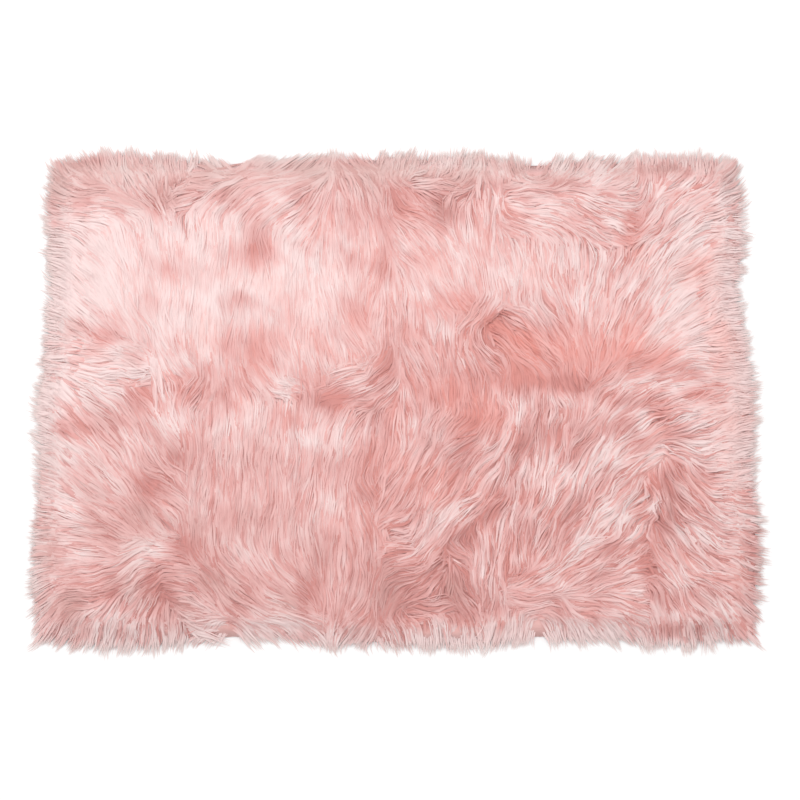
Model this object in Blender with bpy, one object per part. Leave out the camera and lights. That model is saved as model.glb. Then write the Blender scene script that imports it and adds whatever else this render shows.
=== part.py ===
"""Shag rug: one cut of long-pile fur cloth lying flat, as one closed solid.

The top is a bed of combed tufts with partings, hollows and soft swells. The
rim is a ring of tapering locks that lie outward on the floor. Metres, +Z up,
with the origin on the floor under the middle of the rug.
"""

import math
from typing import NamedTuple

import bmesh
import bpy
from mathutils import Matrix, Vector, noise

# The bed of pile, without the rim locks.
BED_LENGTH = 0.872          # along X
BED_WIDTH = 0.600           # along Y
BED_HEIGHT = 0.0265         # combed pile between its tufts
RIM_HEIGHT = 0.0125         # pile at the very edge
RIM_FALL = 0.070            # strip along the edge where the pile comes down
CORNER_DRAW = 0.006         # how far a corner is drawn in, for a soft corner
CORNER_SPAN = 0.045         # length of edge that a corner bends
CELLS_LONG = 64
CELLS_WIDE = 44

# Tufts of pile that overlie one another along the comb.
TUFT_PITCH = 0.031
TUFT_LENGTH = 0.088
TUFT_BREADTH = 0.027
TUFT_RISE = 0.0085
TUFT_UNEVEN = 0.45          # share of the rise that differs from tuft to tuft

# Locks at the rim.
LOCK_SHORT = 0.014
LOCK_LONG = 0.031
LOCK_BAND = 0.060           # depth of the edge strip whose middle the locks point away from
LOCK_SWAY = 14.0            # degrees that neighbouring bunches of locks turn aside
TIP_HEIGHT = 0.0016


class EdgePoint(NamedTuple):
    """How far an edge stands out from its straight line at one place."""
    at: float
    out: float


LEFT_EDGE = (
    EdgePoint(-0.30, 0.001), EdgePoint(-0.21, 0.003), EdgePoint(-0.12, -0.001),
    EdgePoint(0.00, 0.004), EdgePoint(0.035, -0.002), EdgePoint(0.10, -0.004),
    EdgePoint(0.15, -0.010), EdgePoint(0.21, -0.001), EdgePoint(0.30, 0.002),
)
RIGHT_EDGE = (
    EdgePoint(-0.30, 0.001), EdgePoint(-0.20, 0.005), EdgePoint(-0.10, 0.000),
    EdgePoint(0.00, 0.005), EdgePoint(0.06, 0.000), EdgePoint(0.135, -0.013),
    EdgePoint(0.19, -0.003), EdgePoint(0.30, 0.001),
)
LONG_EDGE = (
    EdgePoint(-0.44, 0.003), EdgePoint(-0.31, 0.002), EdgePoint(-0.25, -0.004),
    EdgePoint(-0.13, -0.005), EdgePoint(-0.06, 0.001), EdgePoint(0.10, 0.002),
    EdgePoint(0.16, -0.006), EdgePoint(0.27, -0.006), EdgePoint(0.33, 0.001),
    EdgePoint(0.44, 0.002),
)


class Comb(NamedTuple):
    """The slope of the pile's lines around one place, in degrees from +X."""
    x: float
    y: float
    slope: float
    reach: float


COMBS = (
    Comb(-0.41, 0.28, 158, 0.06), Comb(-0.31, 0.27, 120, 0.05), Comb(-0.18, 0.28, 10, 0.07),
    Comb(-0.08, 0.25, 88, 0.05), Comb(0.03, 0.26, 140, 0.05), Comb(0.12, 0.25, 112, 0.04),
    Comb(0.22, 0.27, 168, 0.08), Comb(0.38, 0.26, 42, 0.07),
    Comb(-0.41, 0.15, 128, 0.07), Comb(-0.22, 0.15, 92, 0.12), Comb(0.03, 0.14, 112, 0.08),
    Comb(0.21, 0.15, 96, 0.07), Comb(0.36, 0.14, 38, 0.08),
    Comb(-0.40, 0.04, 170, 0.06), Comb(0.15, 0.06, 130, 0.05), Comb(0.38, 0.03, 8, 0.07),
    Comb(-0.40, -0.07, 138, 0.08), Comb(-0.19, -0.09, 86, 0.11), Comb(0.06, -0.07, 50, 0.07),
    Comb(0.20, -0.09, 56, 0.10), Comb(0.40, -0.04, 24, 0.05),
    Comb(-0.40, -0.20, 176, 0.07), Comb(-0.18, -0.24, 128, 0.07), Comb(-0.07, -0.23, 94, 0.04),
    Comb(0.04, -0.20, 24, 0.05), Comb(0.13, -0.21, 84, 0.05), Comb(0.24, -0.25, 26, 0.08),
    Comb(0.39, -0.19, 140, 0.08),
)


class Parting(NamedTuple):
    """A trough where the pile parts, from one end to the other, bowed aside."""
    x0: float
    y0: float
    x1: float
    y1: float
    bow: float
    reach: float
    depth: float


PARTINGS = (
    Parting(-0.345, 0.012, -0.120, 0.020, 0.006, 0.012, 0.004),
    Parting(-0.120, 0.018, -0.015, 0.008, -0.008, 0.014, 0.008),
    Parting(-0.015, 0.012, 0.180, 0.026, -0.004, 0.014, 0.006),
    Parting(0.180, 0.026, 0.440, 0.012, 0.010, 0.014, 0.008),
    Parting(-0.017, 0.290, -0.012, 0.090, 0.006, 0.012, 0.005),
    Parting(-0.016, -0.010, -0.012, -0.285, -0.006, 0.012, 0.006),
    Parting(0.072, -0.205, 0.205, -0.050, -0.018, 0.014, 0.008),
    Parting(0.330, -0.030, 0.334, -0.285, 0.010, 0.014, 0.009),
    Parting(0.316, 0.285, 0.306, 0.205, 0.000, 0.012, 0.007),
    Parting(0.120, 0.248, 0.300, 0.214, -0.008, 0.012, 0.004),
    Parting(-0.440, -0.190, -0.270, -0.180, 0.012, 0.014, 0.004),
)


class Swell(NamedTuple):
    """A broad rise of the pile, or a hollow where the rise is negative."""
    x: float
    y: float
    reach: float
    rise: float


SWELLS = (
    Swell(0.128, 0.088, 0.020, -0.009), Swell(0.105, 0.112, 0.022, 0.005),
    Swell(-0.272, -0.185, 0.020, -0.007), Swell(0.030, 0.262, 0.016, -0.006),
    Swell(-0.170, 0.205, 0.022, -0.004), Swell(-0.065, 0.030, 0.026, 0.004),
    Swell(0.230, 0.008, 0.045, 0.004), Swell(-0.300, 0.040, 0.050, 0.003),
    Swell(0.385, -0.010, 0.040, 0.003), Swell(0.150, -0.080, 0.060, 0.003),
    Swell(-0.330, -0.225, 0.045, 0.003), Swell(0.230, 0.245, 0.050, 0.003),
)

PILE_COLOUR = (0.80, 0.48, 0.45, 1.0)


def near(distance, reach):
    """Weight that is 1 at a place and fades away past its reach."""
    return math.exp(-(distance / reach) ** 2)


def edge_offset(edge, at):
    """How far an edge stands out at a place, eased from point to point."""
    if at <= edge[0].at:
        return edge[0].out
    for low, high in zip(edge, edge[1:]):
        if at <= high.at:
            share = (at - low.at) / (high.at - low.at)
            eased = share * share * (3 - 2 * share)
            return low.out + (high.out - low.out) * eased
    return edge[-1].out


def comb_slope(x, y):
    """Slope of the pile's lines, in radians: both ways along a line count the same."""
    across = up = 0.0
    for comb in COMBS:
        weight = near(math.hypot(x - comb.x, y - comb.y), comb.reach) + 1e-6
        across += weight * math.cos(2 * math.radians(comb.slope))
        up += weight * math.sin(2 * math.radians(comb.slope))
    return math.atan2(up, across) / 2


def parting_depth(x, y):
    """How deep the partings sink the pile at a place."""
    depth = 0.0
    for part in PARTINGS:
        start = Vector((part.x0, part.y0))
        run = Vector((part.x1, part.y1)) - start
        aim = Vector((x, y)) - start
        share = min(max(aim.dot(run) / run.length_squared, 0.0), 1.0)
        side = Vector((-run.y, run.x)).normalized()
        centre = start + run * share + side * part.bow * math.sin(math.pi * share)
        fade = 0.45 + 0.55 * math.sin(math.pi * min(max(share, 0.06), 0.94))
        depth = max(depth, part.depth * fade * near((Vector((x, y)) - centre).length, part.reach))
    return depth


def swell_rise(x, y):
    """Broad rises and hollows of the pile at a place."""
    return sum(swell.rise * near(math.hypot(x - swell.x, y - swell.y), swell.reach) for swell in SWELLS)


class Tuft(NamedTuple):
    """One combed tuft: its middle, its slope and its rise."""
    x: float
    y: float
    slope: float
    rise: float


def comb_tufts():
    """Tufts on an uneven grid over the whole bed, turned along the comb."""
    columns = math.ceil(BED_LENGTH / TUFT_PITCH)
    rows = math.ceil(BED_WIDTH / TUFT_PITCH)
    tufts = []
    for column in range(columns + 1):
        for row in range(rows + 1):
            drift = noise.noise_vector(Vector((column * 1.37, row * 1.73, 0.5)))
            x = (column - columns / 2 + 0.6 * drift.x) * TUFT_PITCH
            y = (row - rows / 2 + 0.6 * drift.y) * TUFT_PITCH
            rise = TUFT_RISE * (1 + TUFT_UNEVEN * 2 * drift.z)
            tufts.append(Tuft(x, y, comb_slope(x, y) + 0.5 * drift.x, rise))
    return tufts


def tuft_rise(tufts, x, y):
    """Height of the highest tuft over a place: long along the comb, narrow across it."""
    best = 0.0
    for tuft in tufts:
        dx = x - tuft.x
        dy = y - tuft.y
        if abs(dx) > TUFT_LENGTH or abs(dy) > TUFT_LENGTH:
            continue
        along = dx * math.cos(tuft.slope) + dy * math.sin(tuft.slope)
        across = dy * math.cos(tuft.slope) - dx * math.sin(tuft.slope)
        best = max(best, tuft.rise * near(along, TUFT_LENGTH / 2) * near(across, TUFT_BREADTH / 2))
    return best


def bed_outline(u, v):
    """Place on the floor of a point of the unit square, with the uneven edges and soft corners."""
    x = u * BED_LENGTH / 2
    y = v * BED_WIDTH / 2
    left = edge_offset(LEFT_EDGE, y) * max(-u, 0.0)
    right = edge_offset(RIGHT_EDGE, y) * max(u, 0.0)
    lift = edge_offset(LONG_EDGE, x) * v
    from_corner = math.hypot(BED_LENGTH / 2 - abs(x), BED_WIDTH / 2 - abs(y))
    draw = CORNER_DRAW * near(from_corner, CORNER_SPAN)
    return Vector((x + right - left - math.copysign(draw, x), y + lift - math.copysign(draw, y)))


def pile_height(tufts, u, v, place):
    """Top of the pile: full over the bed, domed down to the rim."""
    inward = min((1 - abs(u)) * BED_LENGTH / 2, (1 - abs(v)) * BED_WIDTH / 2)
    share = min(inward / RIM_FALL, 1.0)
    dome = math.sqrt(1 - (1 - share) ** 2)
    relief = tuft_rise(tufts, place.x, place.y) + swell_rise(place.x, place.y)
    relief -= parting_depth(place.x, place.y)
    ripple = 0.0018 * noise.noise(Vector((place.x * 45, place.y * 45, 2.0))) * (1 - dome)
    return RIM_HEIGHT + ripple + (BED_HEIGHT - RIM_HEIGHT) * dome + relief * (0.15 + 0.85 * dome)


def make_bed(mesh):
    """The lumpy top of the slab, on a grid."""
    bmesh.ops.create_grid(mesh, x_segments=CELLS_LONG, y_segments=CELLS_WIDE, size=1.0)
    tufts = comb_tufts()
    for vert in mesh.verts:
        u, v = vert.co.x, vert.co.y
        place = bed_outline(u, v)
        vert.co = Vector((place.x, place.y, pile_height(tufts, u, v, place)))


def make_wall_and_base(mesh):
    """The slab's side down to the floor and its flat underside; returns the side's faces."""
    rim = [edge for edge in mesh.edges if edge.is_boundary]
    skirt = bmesh.ops.extrude_edge_only(mesh, edges=rim)["geom"]
    for part in skirt:
        if isinstance(part, bmesh.types.BMVert):
            part.co.z = 0.0
    wall = [part for part in skirt if isinstance(part, bmesh.types.BMFace)]
    foot = [edge for edge in mesh.edges if edge.is_boundary]
    bmesh.ops.holes_fill(mesh, edges=foot, sides=0)
    return wall


def lock_direction(middle):
    """Way that a rim lock lies: straight out along the sides and fanned round the corners."""
    inner = Vector((
        min(max(middle.x, LOCK_BAND - BED_LENGTH / 2), BED_LENGTH / 2 - LOCK_BAND),
        min(max(middle.y, LOCK_BAND - BED_WIDTH / 2), BED_WIDTH / 2 - LOCK_BAND),
    ))
    out = (Vector((middle.x, middle.y)) - inner).normalized()
    comb = comb_slope(middle.x, middle.y)
    grain = Vector((math.cos(comb), math.sin(comb)))
    if grain.dot(out) < 0:
        grain.negate()
    sway = noise.noise(Vector((middle.x * 22, middle.y * 22, 7.0))) * math.radians(LOCK_SWAY) * 2
    heading = (out * 1.6 + grain * grain.dot(out)).normalized()
    heading.rotate(Matrix.Rotation(sway, 2))
    return Vector((heading.x, heading.y, 0.0))


def lock_length(middle):
    """Reach of a rim lock past the edge: bunches of longer and shorter ones."""
    bunch = noise.noise(Vector((middle.x * 38, middle.y * 38, 4.0)))
    stray = noise.noise(Vector((middle.x * 160, middle.y * 160, 9.0)))
    share = min(max(0.5 + 0.75 * bunch + 0.45 * stray, 0.0), 1.0)
    return LOCK_SHORT + (LOCK_LONG - LOCK_SHORT) * share


class LockStep(NamedTuple):
    """One section of a lock: how far along it is, and what is left of its breadth and height."""
    along: float
    breadth: float
    height: float


LOCK_STEPS = (LockStep(0.50, 0.62, 0.56), LockStep(1.00, 0.16, 0.0))


def make_lock(mesh, face):
    """Draws one face of the side out to a tapering lock that lies level on the floor."""
    foot = face.calc_center_median()
    foot.z = 0.0
    heading = lock_direction(foot)
    side = Vector((-heading.y, heading.x, 0.0))
    length = lock_length(foot)
    height = max(vert.co.z for vert in face.verts)
    for step in LOCK_STEPS:
        face = bmesh.ops.extrude_discrete_faces(mesh, faces=[face])["faces"][0]
        centre = foot + heading * length * step.along
        half = BED_LENGTH / CELLS_LONG / 2 * step.breadth
        top = max(height * step.height, TIP_HEIGHT)
        for vert in face.verts:
            breadth = math.copysign(half, (vert.co - centre).dot(side))
            level = top if vert.co.z > TIP_HEIGHT / 2 else 0.0
            vert.co = centre + side * breadth + Vector((0.0, 0.0, level))


def centre_on_origin(mesh):
    """Moves the whole shape so that the middle of its box stands over the origin."""
    for axis in (0, 1):
        low = min(vert.co[axis] for vert in mesh.verts)
        high = max(vert.co[axis] for vert in mesh.verts)
        for vert in mesh.verts:
            vert.co[axis] -= (low + high) / 2


def pile_material():
    """Soft blush pile."""
    material = bpy.data.materials.new("blush_pile")
    material.use_nodes = True
    shader = material.node_tree.nodes["Principled BSDF"]
    shader.inputs["Base Color"].default_value = PILE_COLOUR
    shader.inputs["Roughness"].default_value = 0.85
    shader.inputs["Metallic"].default_value = 0.0
    return material


def make_rug():
    """The whole rug as one closed solid."""
    mesh = bmesh.new()
    make_bed(mesh)
    for face in make_wall_and_base(mesh):
        make_lock(mesh, face)
    centre_on_origin(mesh)
    bmesh.ops.recalc_face_normals(mesh, faces=mesh.faces)
    data = bpy.data.meshes.new("rug")
    mesh.to_mesh(data)
    mesh.free()
    data.shade_smooth()
    data.set_sharp_from_angle(angle=math.radians(50))
    data.materials.append(pile_material())
    rug = bpy.data.objects.new("rug", data)
    bpy.context.scene.collection.objects.link(rug)
    return rug


def main():
    """Clears the scene and makes the rug."""
    for thing in list(bpy.data.objects):
        bpy.data.objects.remove(thing, do_unlink=True)
    make_rug()


if __name__ == "__main__":
    main()
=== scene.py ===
"""Blush shag rug, dressed around its packed slab.

A knitted ground lies on the floor, and matted short fibres fill the rug above
it. Under pile, combed long pile, fine wisps and the rim's loose strands grow
over them as tapered ribbons. The pile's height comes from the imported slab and
a table of folds, and its direction from a table of comb strokes.
"""

import math
from typing import NamedTuple

import bmesh
import bpy
import numpy as np
from bpy.props import FloatProperty, FloatVectorProperty, IntProperty, PointerProperty
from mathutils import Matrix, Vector
from mathutils.bvhtree import BVHTree


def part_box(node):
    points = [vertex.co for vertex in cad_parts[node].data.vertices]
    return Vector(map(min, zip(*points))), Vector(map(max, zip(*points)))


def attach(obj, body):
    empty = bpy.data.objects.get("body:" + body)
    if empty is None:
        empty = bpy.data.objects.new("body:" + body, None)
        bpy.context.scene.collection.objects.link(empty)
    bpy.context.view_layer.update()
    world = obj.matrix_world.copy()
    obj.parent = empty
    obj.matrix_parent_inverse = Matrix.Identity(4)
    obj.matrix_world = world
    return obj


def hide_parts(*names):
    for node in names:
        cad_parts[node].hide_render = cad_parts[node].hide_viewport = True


bl_info = {
    "name": "Shag Rug",
    "version": (1, 0, 0),
    "blender": (4, 5, 0),
    "location": "View3D > Sidebar > Rug",
    "description": "Makes a long-pile rug on its packed slab",
    "category": "Add Mesh",
}

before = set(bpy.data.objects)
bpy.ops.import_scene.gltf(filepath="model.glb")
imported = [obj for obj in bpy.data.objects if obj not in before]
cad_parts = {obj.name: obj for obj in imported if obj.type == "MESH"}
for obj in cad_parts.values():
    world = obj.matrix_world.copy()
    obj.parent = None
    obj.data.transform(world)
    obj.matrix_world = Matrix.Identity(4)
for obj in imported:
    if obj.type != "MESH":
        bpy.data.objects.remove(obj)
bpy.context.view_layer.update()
SLAB = "rug"

# The slab read as a field.
READ_STEP = 0.005           # distance between the rays that read the slab's height
EDGE_LEVEL = 0.0105         # the slab is at least this high inside its rim
WHOLE_LINE = 0.95           # a line of rays shorter than this share of the longest shows no edge
EDGE_EASE = 9               # rays over which the edge is smoothed
EDGE_BLEND = 0.006          # depth inside the edge over which the slab's own height comes in
RIM_REACH = 0.028           # how far loose pile lies past the edge
CORNER_FAN = 0.060          # depth of the edge strip where the pile fans round a corner
FOLD_RISE = 0.06            # how much a full crest raises the pile, as a share of its height

# How locks and strands lie.
BASE_LOOSE = 0.45           # looseness of the pile outside the patches
BACK_SHARE = 0.24           # share of a lock that lies behind the place it grows over
ROOT_DEPTH = 0.004          # a lock's root is set back only where it stays this far inside the edge
ROOT_SCATTER = 0.42         # how far roots stray from even rows, as a share of their spacing
TURN_OUT = (0.008, 0.050)   # range of the depths inside the edge at which tips turn outward
OUT_WEIGHT = 1.3            # weight of the way straight out where it mixes with the comb's way
PULL_DEPTH = 0.010          # depth inside the edge over which a lock is pulled outward
LEVEL_TURN = 0.4            # share of a lock's length at which its own bend turns it neither way
STRAY_SHARE = 0.05          # share of strands whose tips stray from their lock
TIP_FALL = 0.0022           # how far a strand's tip bends down
LOWEST = 0.0009             # least height of a strand's centre line above the floor

# The pieces below the strands.
DENSE_SHARE = 0.945         # height of smooth pile's dense part, as a share of the long pile
DENSE_FALL = 0.11           # how much lower that share is where the pile is loose
DENSE_RISE = 0.06           # how much higher it is at the edge
DENSE_INSET = 0.007         # how far the dense pile's top stays inside the slab's edge
DENSE_SHADE_WARM = 0.6            # warmth painted into the dense pile's colour: painted shade in the gaps between strands
DENSE_CELLS = (110, 76)     # cells of the dense pile, along and across the rug
SKIRT = 0.016               # how far the dense pile slopes out to the floor at its edge
GROUND_INSET = 0.006        # how far the knitted ground stays inside the slab's edge
GROUND_THICKNESS = 0.0015
GROUND_CELLS = (44, 30)
WHOLE_RUG = 1.0             # a depth inside the edge that takes in the whole rug

# How pale and how warm the pile looks.
BASE_PALE = 0.07            # paleness between the patches
RIM_LIGHT = 0.30             # painted light: how much paler the pile is painted at the edge
RIM_SHADE = 0.22             # painted shade: how much greyer it is painted there
SHADE_GAIN = 1.08           # strength of the patches in the tables
FOLD_SHADE_GAIN = 1.55            # how much paler a full crest and deeper a full valley are painted: painted highlight and painted shade
LOCK_TONE = 1.15            # weight of a lock's own tone in its strands' tones
STRAND_TONE = 0.35          # spread of the tones of strands in one lock
TONE_GAIN = 1.6             # strength of those tones where the pile is loose
STREAK = 0.045              # how much the streaks along a strand change its paleness

# The stage.
FLOOR_REACH = 6.0           # how far the floor lies out from the rug's middle
KEY_PLACE = (-0.5, 1.0, 2.95)
KEY_SIZE = 2.2
CAMERA_TARGET = (0.0055, -0.0095, 0.02)
SENSOR_WIDTH = 36.0         # in millimetres


# ---------------------------------------------------------------------------
# Tables: where the pile is combed, parted, paler or deeper
# ---------------------------------------------------------------------------

# The tables give these in millimetres.
LENGTHS = {"x", "y", "reach", "wide", "high", "along", "across"}


def read_table(kind, rows):
    """A table's rows as named entries, with their lengths turned from millimetres to metres."""
    return tuple(
        kind(*(value / 1000 if name in LENGTHS else value for name, value in zip(kind._fields, row)))
        for row in rows)


class Comb(NamedTuple):
    """Where the pile's tips point around one place, in degrees from +X."""
    x: float
    y: float
    heading: float
    reach: float


# The strip along each long edge, seen on the far one; the near one is its mirror image.
EDGE_COMBS = read_table(Comb, (
    (-430, 300, 130, 18), (-385, 302, 120, 18), (-340, 300, 118, 18), (-295, 300, 98, 18),
    (-430, 275, 322, 16), (-388, 283, 200, 12), (-400, 252, 355, 22), (-355, 262, 342, 18),
    (-345, 284, 302, 18), (-316, 266, 305, 16), (-300, 282, 280, 12), (-280, 272, 198, 14),
    (-250, 290, 190, 14), (-230, 306, 338, 12), (-232, 266, 230, 20), (-200, 285, 205, 16),
    (-190, 258, 226, 20), (-160, 292, 194, 20), (-150, 262, 213, 18), (-122, 292, 202, 14),
    (-120, 256, 230, 18), (-100, 268, 240, 14), (-83, 262, 269, 18), (-64, 280, 290, 14),
    (-52, 300, 322, 10), (-45, 262, 292, 16), (-14, 276, 285, 12), (4, 274, 307, 10), (5, 310, 64, 12),
    (45, 308, 76, 14), (30, 291, 0, 10), (52, 284, 352, 10), (36, 264, 315, 14), (10, 250, 345, 12),
    (68, 256, 270, 12), (85, 276, 215, 10), (90, 308, 70, 12), (112, 262, 270, 18), (135, 306, 104, 16),
    (148, 276, 12, 10), (150, 256, 335, 10), (178, 268, 349, 16), (205, 298, 51, 14), (230, 280, 0, 12),
    (246, 294, 34, 12), (278, 292, 28, 14), (240, 262, 338, 14), (278, 265, 356, 16),
    (226, 250, 322, 12), (326, 284, 252, 14), (336, 256, 240, 16), (370, 280, 222, 18),
    (400, 256, 208, 22), (425, 286, 222, 18), (340, 308, 87, 12), (390, 308, 82, 14),
    (440, 306, 60, 14),
))
FAR_COMBS = read_table(Comb, (
    (-430, 222, 338, 20), (-400, 205, 308, 20), (-360, 215, 290, 22), (-310, 215, 275, 26),
    (-230, 215, 270, 34), (-125, 228, 242, 16), (-80, 222, 271, 20), (-35, 235, 282, 18),
    (-8, 236, 312, 12), (34, 240, 322, 14), (18, 205, 305, 18), (60, 195, 298, 20), (104, 225, 272, 18),
    (150, 236, 335, 14), (186, 240, 340, 14), (200, 224, 330, 12), (255, 236, 334, 16),
    (288, 232, 340, 14), (330, 216, 228, 16), (366, 224, 222, 18), (425, 225, 192, 22),
    (-425, 160, 318, 22), (-385, 155, 304, 22), (-340, 160, 288, 24), (-435, 112, 332, 16),
    (-400, 108, 318, 18), (-355, 105, 300, 18), (-415, 82, 343, 16), (-375, 82, 326, 16),
    (-320, 95, 288, 18), (-250, 150, 271, 50), (-150, 160, 270, 45), (-80, 130, 284, 24),
    (-55, 100, 298, 16), (-38, 165, 266, 22), (-24, 108, 260, 16), (12, 145, 280, 22),
    (50, 150, 300, 18), (100, 178, 283, 24), (165, 180, 276, 26), (208, 150, 288, 18),
    (215, 190, 271, 20), (245, 155, 260, 18), (285, 170, 251, 20), (325, 165, 239, 20),
    (375, 160, 221, 26), (428, 165, 190, 20), (405, 115, 206, 26), (340, 108, 229, 20),
    (285, 110, 256, 18), (262, 80, 256, 14), (305, 80, 234, 14), (350, 78, 211, 18), (425, 80, 196, 22),
    (235, 75, 280, 14), (205, 85, 302, 16), (180, 60, 318, 16),
))
CURL_COMBS = read_table(Comb, (
    (85, 142, 300, 12), (112, 128, 222, 10), (90, 106, 230, 10), (101, 92, 268, 8), (107, 74, 305, 8),
    (76, 92, 273, 12), (122, 60, 316, 12), (130, 98, 322, 10), (142, 84, 310, 10), (150, 112, 336, 11),
    (176, 94, 302, 9), (178, 115, 308, 12),
))
MIDDLE_COMBS = read_table(Comb, (
    (-425, 58, 347, 18), (-385, 56, 356, 18), (-345, 68, 340, 14), (-415, 25, 334, 18),
    (-370, 26, 352, 14), (-334, 32, 15, 10), (-425, -2, 320, 16), (-385, 0, 323, 18),
    (-345, 4, 306, 16), (-300, 58, 296, 14), (-282, 44, 318, 12), (-302, 10, 280, 16),
    (-264, 22, 242, 14), (-218, 62, 280, 20), (-182, 45, 305, 14), (-150, 60, 285, 18),
    (-148, 24, 350, 10), (-108, 55, 278, 18), (-75, 28, 196, 12), (-48, 22, 192, 12),
    (-18, 48, 237, 12), (-14, 18, 225, 10), (10, 60, 290, 12), (22, 44, 301, 12), (50, 50, 284, 16),
    (30, 12, 275, 16), (85, 48, 298, 12), (95, 18, 270, 20), (155, 22, 266, 18), (215, 30, 275, 16),
    (212, 8, 298, 10), (236, 0, 264, 12), (285, 45, 232, 12), (275, 18, 224, 14), (315, 56, 202, 12),
    (312, 26, 214, 14), (350, 50, 200, 14), (400, 50, 190, 22), (365, 26, 186, 14), (430, 32, 184, 16),
))
NEAR_LEFT_COMBS = read_table(Comb, (
    (-430, -45, 321, 22), (-385, -45, 311, 22), (-345, -50, 296, 20), (-308, -45, 305, 16),
    (-282, -30, 292, 14), (-258, -62, 263, 16), (-215, -60, 270, 30), (-145, -45, 268, 28),
    (-90, -40, 254, 16), (-66, -34, 240, 12), (-65, -70, 252, 18), (-26, -50, 264, 14),
    (-435, -95, 327, 20), (-400, -92, 316, 18), (-360, -102, 305, 18), (-425, -128, 341, 18),
    (-382, -128, 327, 18), (-318, -90, 328, 14), (-292, -124, 318, 14), (-320, -155, 308, 16),
    (-365, -158, 323, 18), (-415, -160, 343, 20), (-240, -140, 272, 30), (-160, -130, 266, 45),
    (-100, -110, 265, 30), (-40, -112, 300, 12), (-52, -145, 282, 18), (-425, -190, 184, 16),
    (-384, -184, 338, 14), (-340, -190, 204, 12), (-304, -188, 356, 14), (-395, -212, 188, 20),
    (-345, -216, 211, 16), (-286, -220, 350, 16), (-430, -235, 198, 20), (-385, -242, 186, 18),
    (-258, -204, 294, 14), (-240, -226, 310, 16), (-205, -210, 310, 22), (-168, -222, 312, 20),
    (-130, -205, 296, 20), (-85, -180, 272, 26), (-50, -215, 268, 18), (-24, -170, 272, 10),
))
NEAR_RIGHT_COMBS = read_table(Comb, (
    (4, -35, 266, 14), (-4, -80, 252, 14), (32, -50, 246, 18), (-10, -125, 241, 14),
    (20, -112, 245, 18), (60, -30, 243, 14), (62, -62, 226, 14), (88, -42, 216, 14),
    (54, -100, 230, 16), (92, -94, 258, 10), (110, -70, 231, 18), (126, -40, 238, 14),
    (100, -120, 226, 18), (45, -150, 237, 18), (76, -160, 228, 14), (36, -188, 242, 12),
    (-4, -154, 200, 10), (0, -172, 357, 11), (4, -196, 190, 12), (12, -218, 190, 14),
    (48, -226, 214, 14), (78, -194, 316, 11), (88, -214, 288, 12), (108, -178, 286, 12),
    (112, -212, 270, 16), (134, -160, 262, 14), (155, -105, 250, 20), (180, -60, 256, 22),
    (152, -200, 265, 18), (195, -130, 247, 22), (170, -12, 268, 14), (195, -175, 250, 16),
    (232, -160, 230, 16), (235, -95, 247, 20), (270, -20, 233, 18), (312, -16, 218, 14),
    (270, -60, 229, 16), (310, -60, 215, 16), (280, -95, 226, 16), (275, -130, 232, 18),
    (306, -145, 222, 14), (280, -172, 219, 18), (250, -202, 218, 16), (300, -200, 210, 14),
    (195, -222, 210, 16), (242, -230, 209, 16), (294, -230, 194, 16),
))
NEAR_EDGE_COMBS = read_table(Comb, (
    (350, -8, 12, 12), (400, -2, 20, 18), (430, -30, 27, 18), (385, -38, 16, 16), (374, -60, 335, 12),
    (415, -62, 15, 18), (440, -86, 22, 14), (352, -100, 294, 14), (380, -105, 308, 14),
    (425, -112, 4, 18), (365, -138, 302, 14), (396, -142, 325, 14), (436, -145, 355, 16),
    (350, -170, 302, 14), (385, -180, 316, 16), (430, -185, 346, 18), (356, -212, 308, 16),
    (398, -216, 334, 18), (436, -228, 340, 18), (350, -250, 294, 16), (388, -255, 312, 18),
    (430, -262, 320, 18), (352, -282, 285, 14), (395, -288, 302, 16), (440, -290, 310, 16),
))


def placed(item):
    """A table's entry moved from where the picture shows it, from in front, to its place on the rug."""
    growth = 0.976 + 0.075 * item.y
    return item._replace(x=item.x * growth + 0.004, y=item.y * growth - 0.015)


def mirrored(comb):
    """The same stroke on the near long edge; pile that isn't fringe still points down the rug."""
    is_fringe = 20 < comb.heading < 160
    heading = -comb.heading if is_fringe else 180 - comb.heading
    return Comb(comb.x, -comb.y, heading, comb.reach)


EDGES = tuple(placed(comb) for comb in EDGE_COMBS)
INNER = FAR_COMBS + CURL_COMBS + MIDDLE_COMBS + NEAR_LEFT_COMBS + NEAR_RIGHT_COMBS + NEAR_EDGE_COMBS
COMBS = (EDGES + tuple(mirrored(comb) for comb in EDGES if comb.x < 0.32)
         + tuple(placed(comb) for comb in INNER))


class Shade(NamedTuple):
    """A patch of pile that looks paler or deeper, and warmer or greyer, than the rest: partly the pile's
    own tone, partly painted shade and painted highlight.
    """
    x: float
    y: float
    wide: float
    high: float
    pale: float
    warm: float


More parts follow.
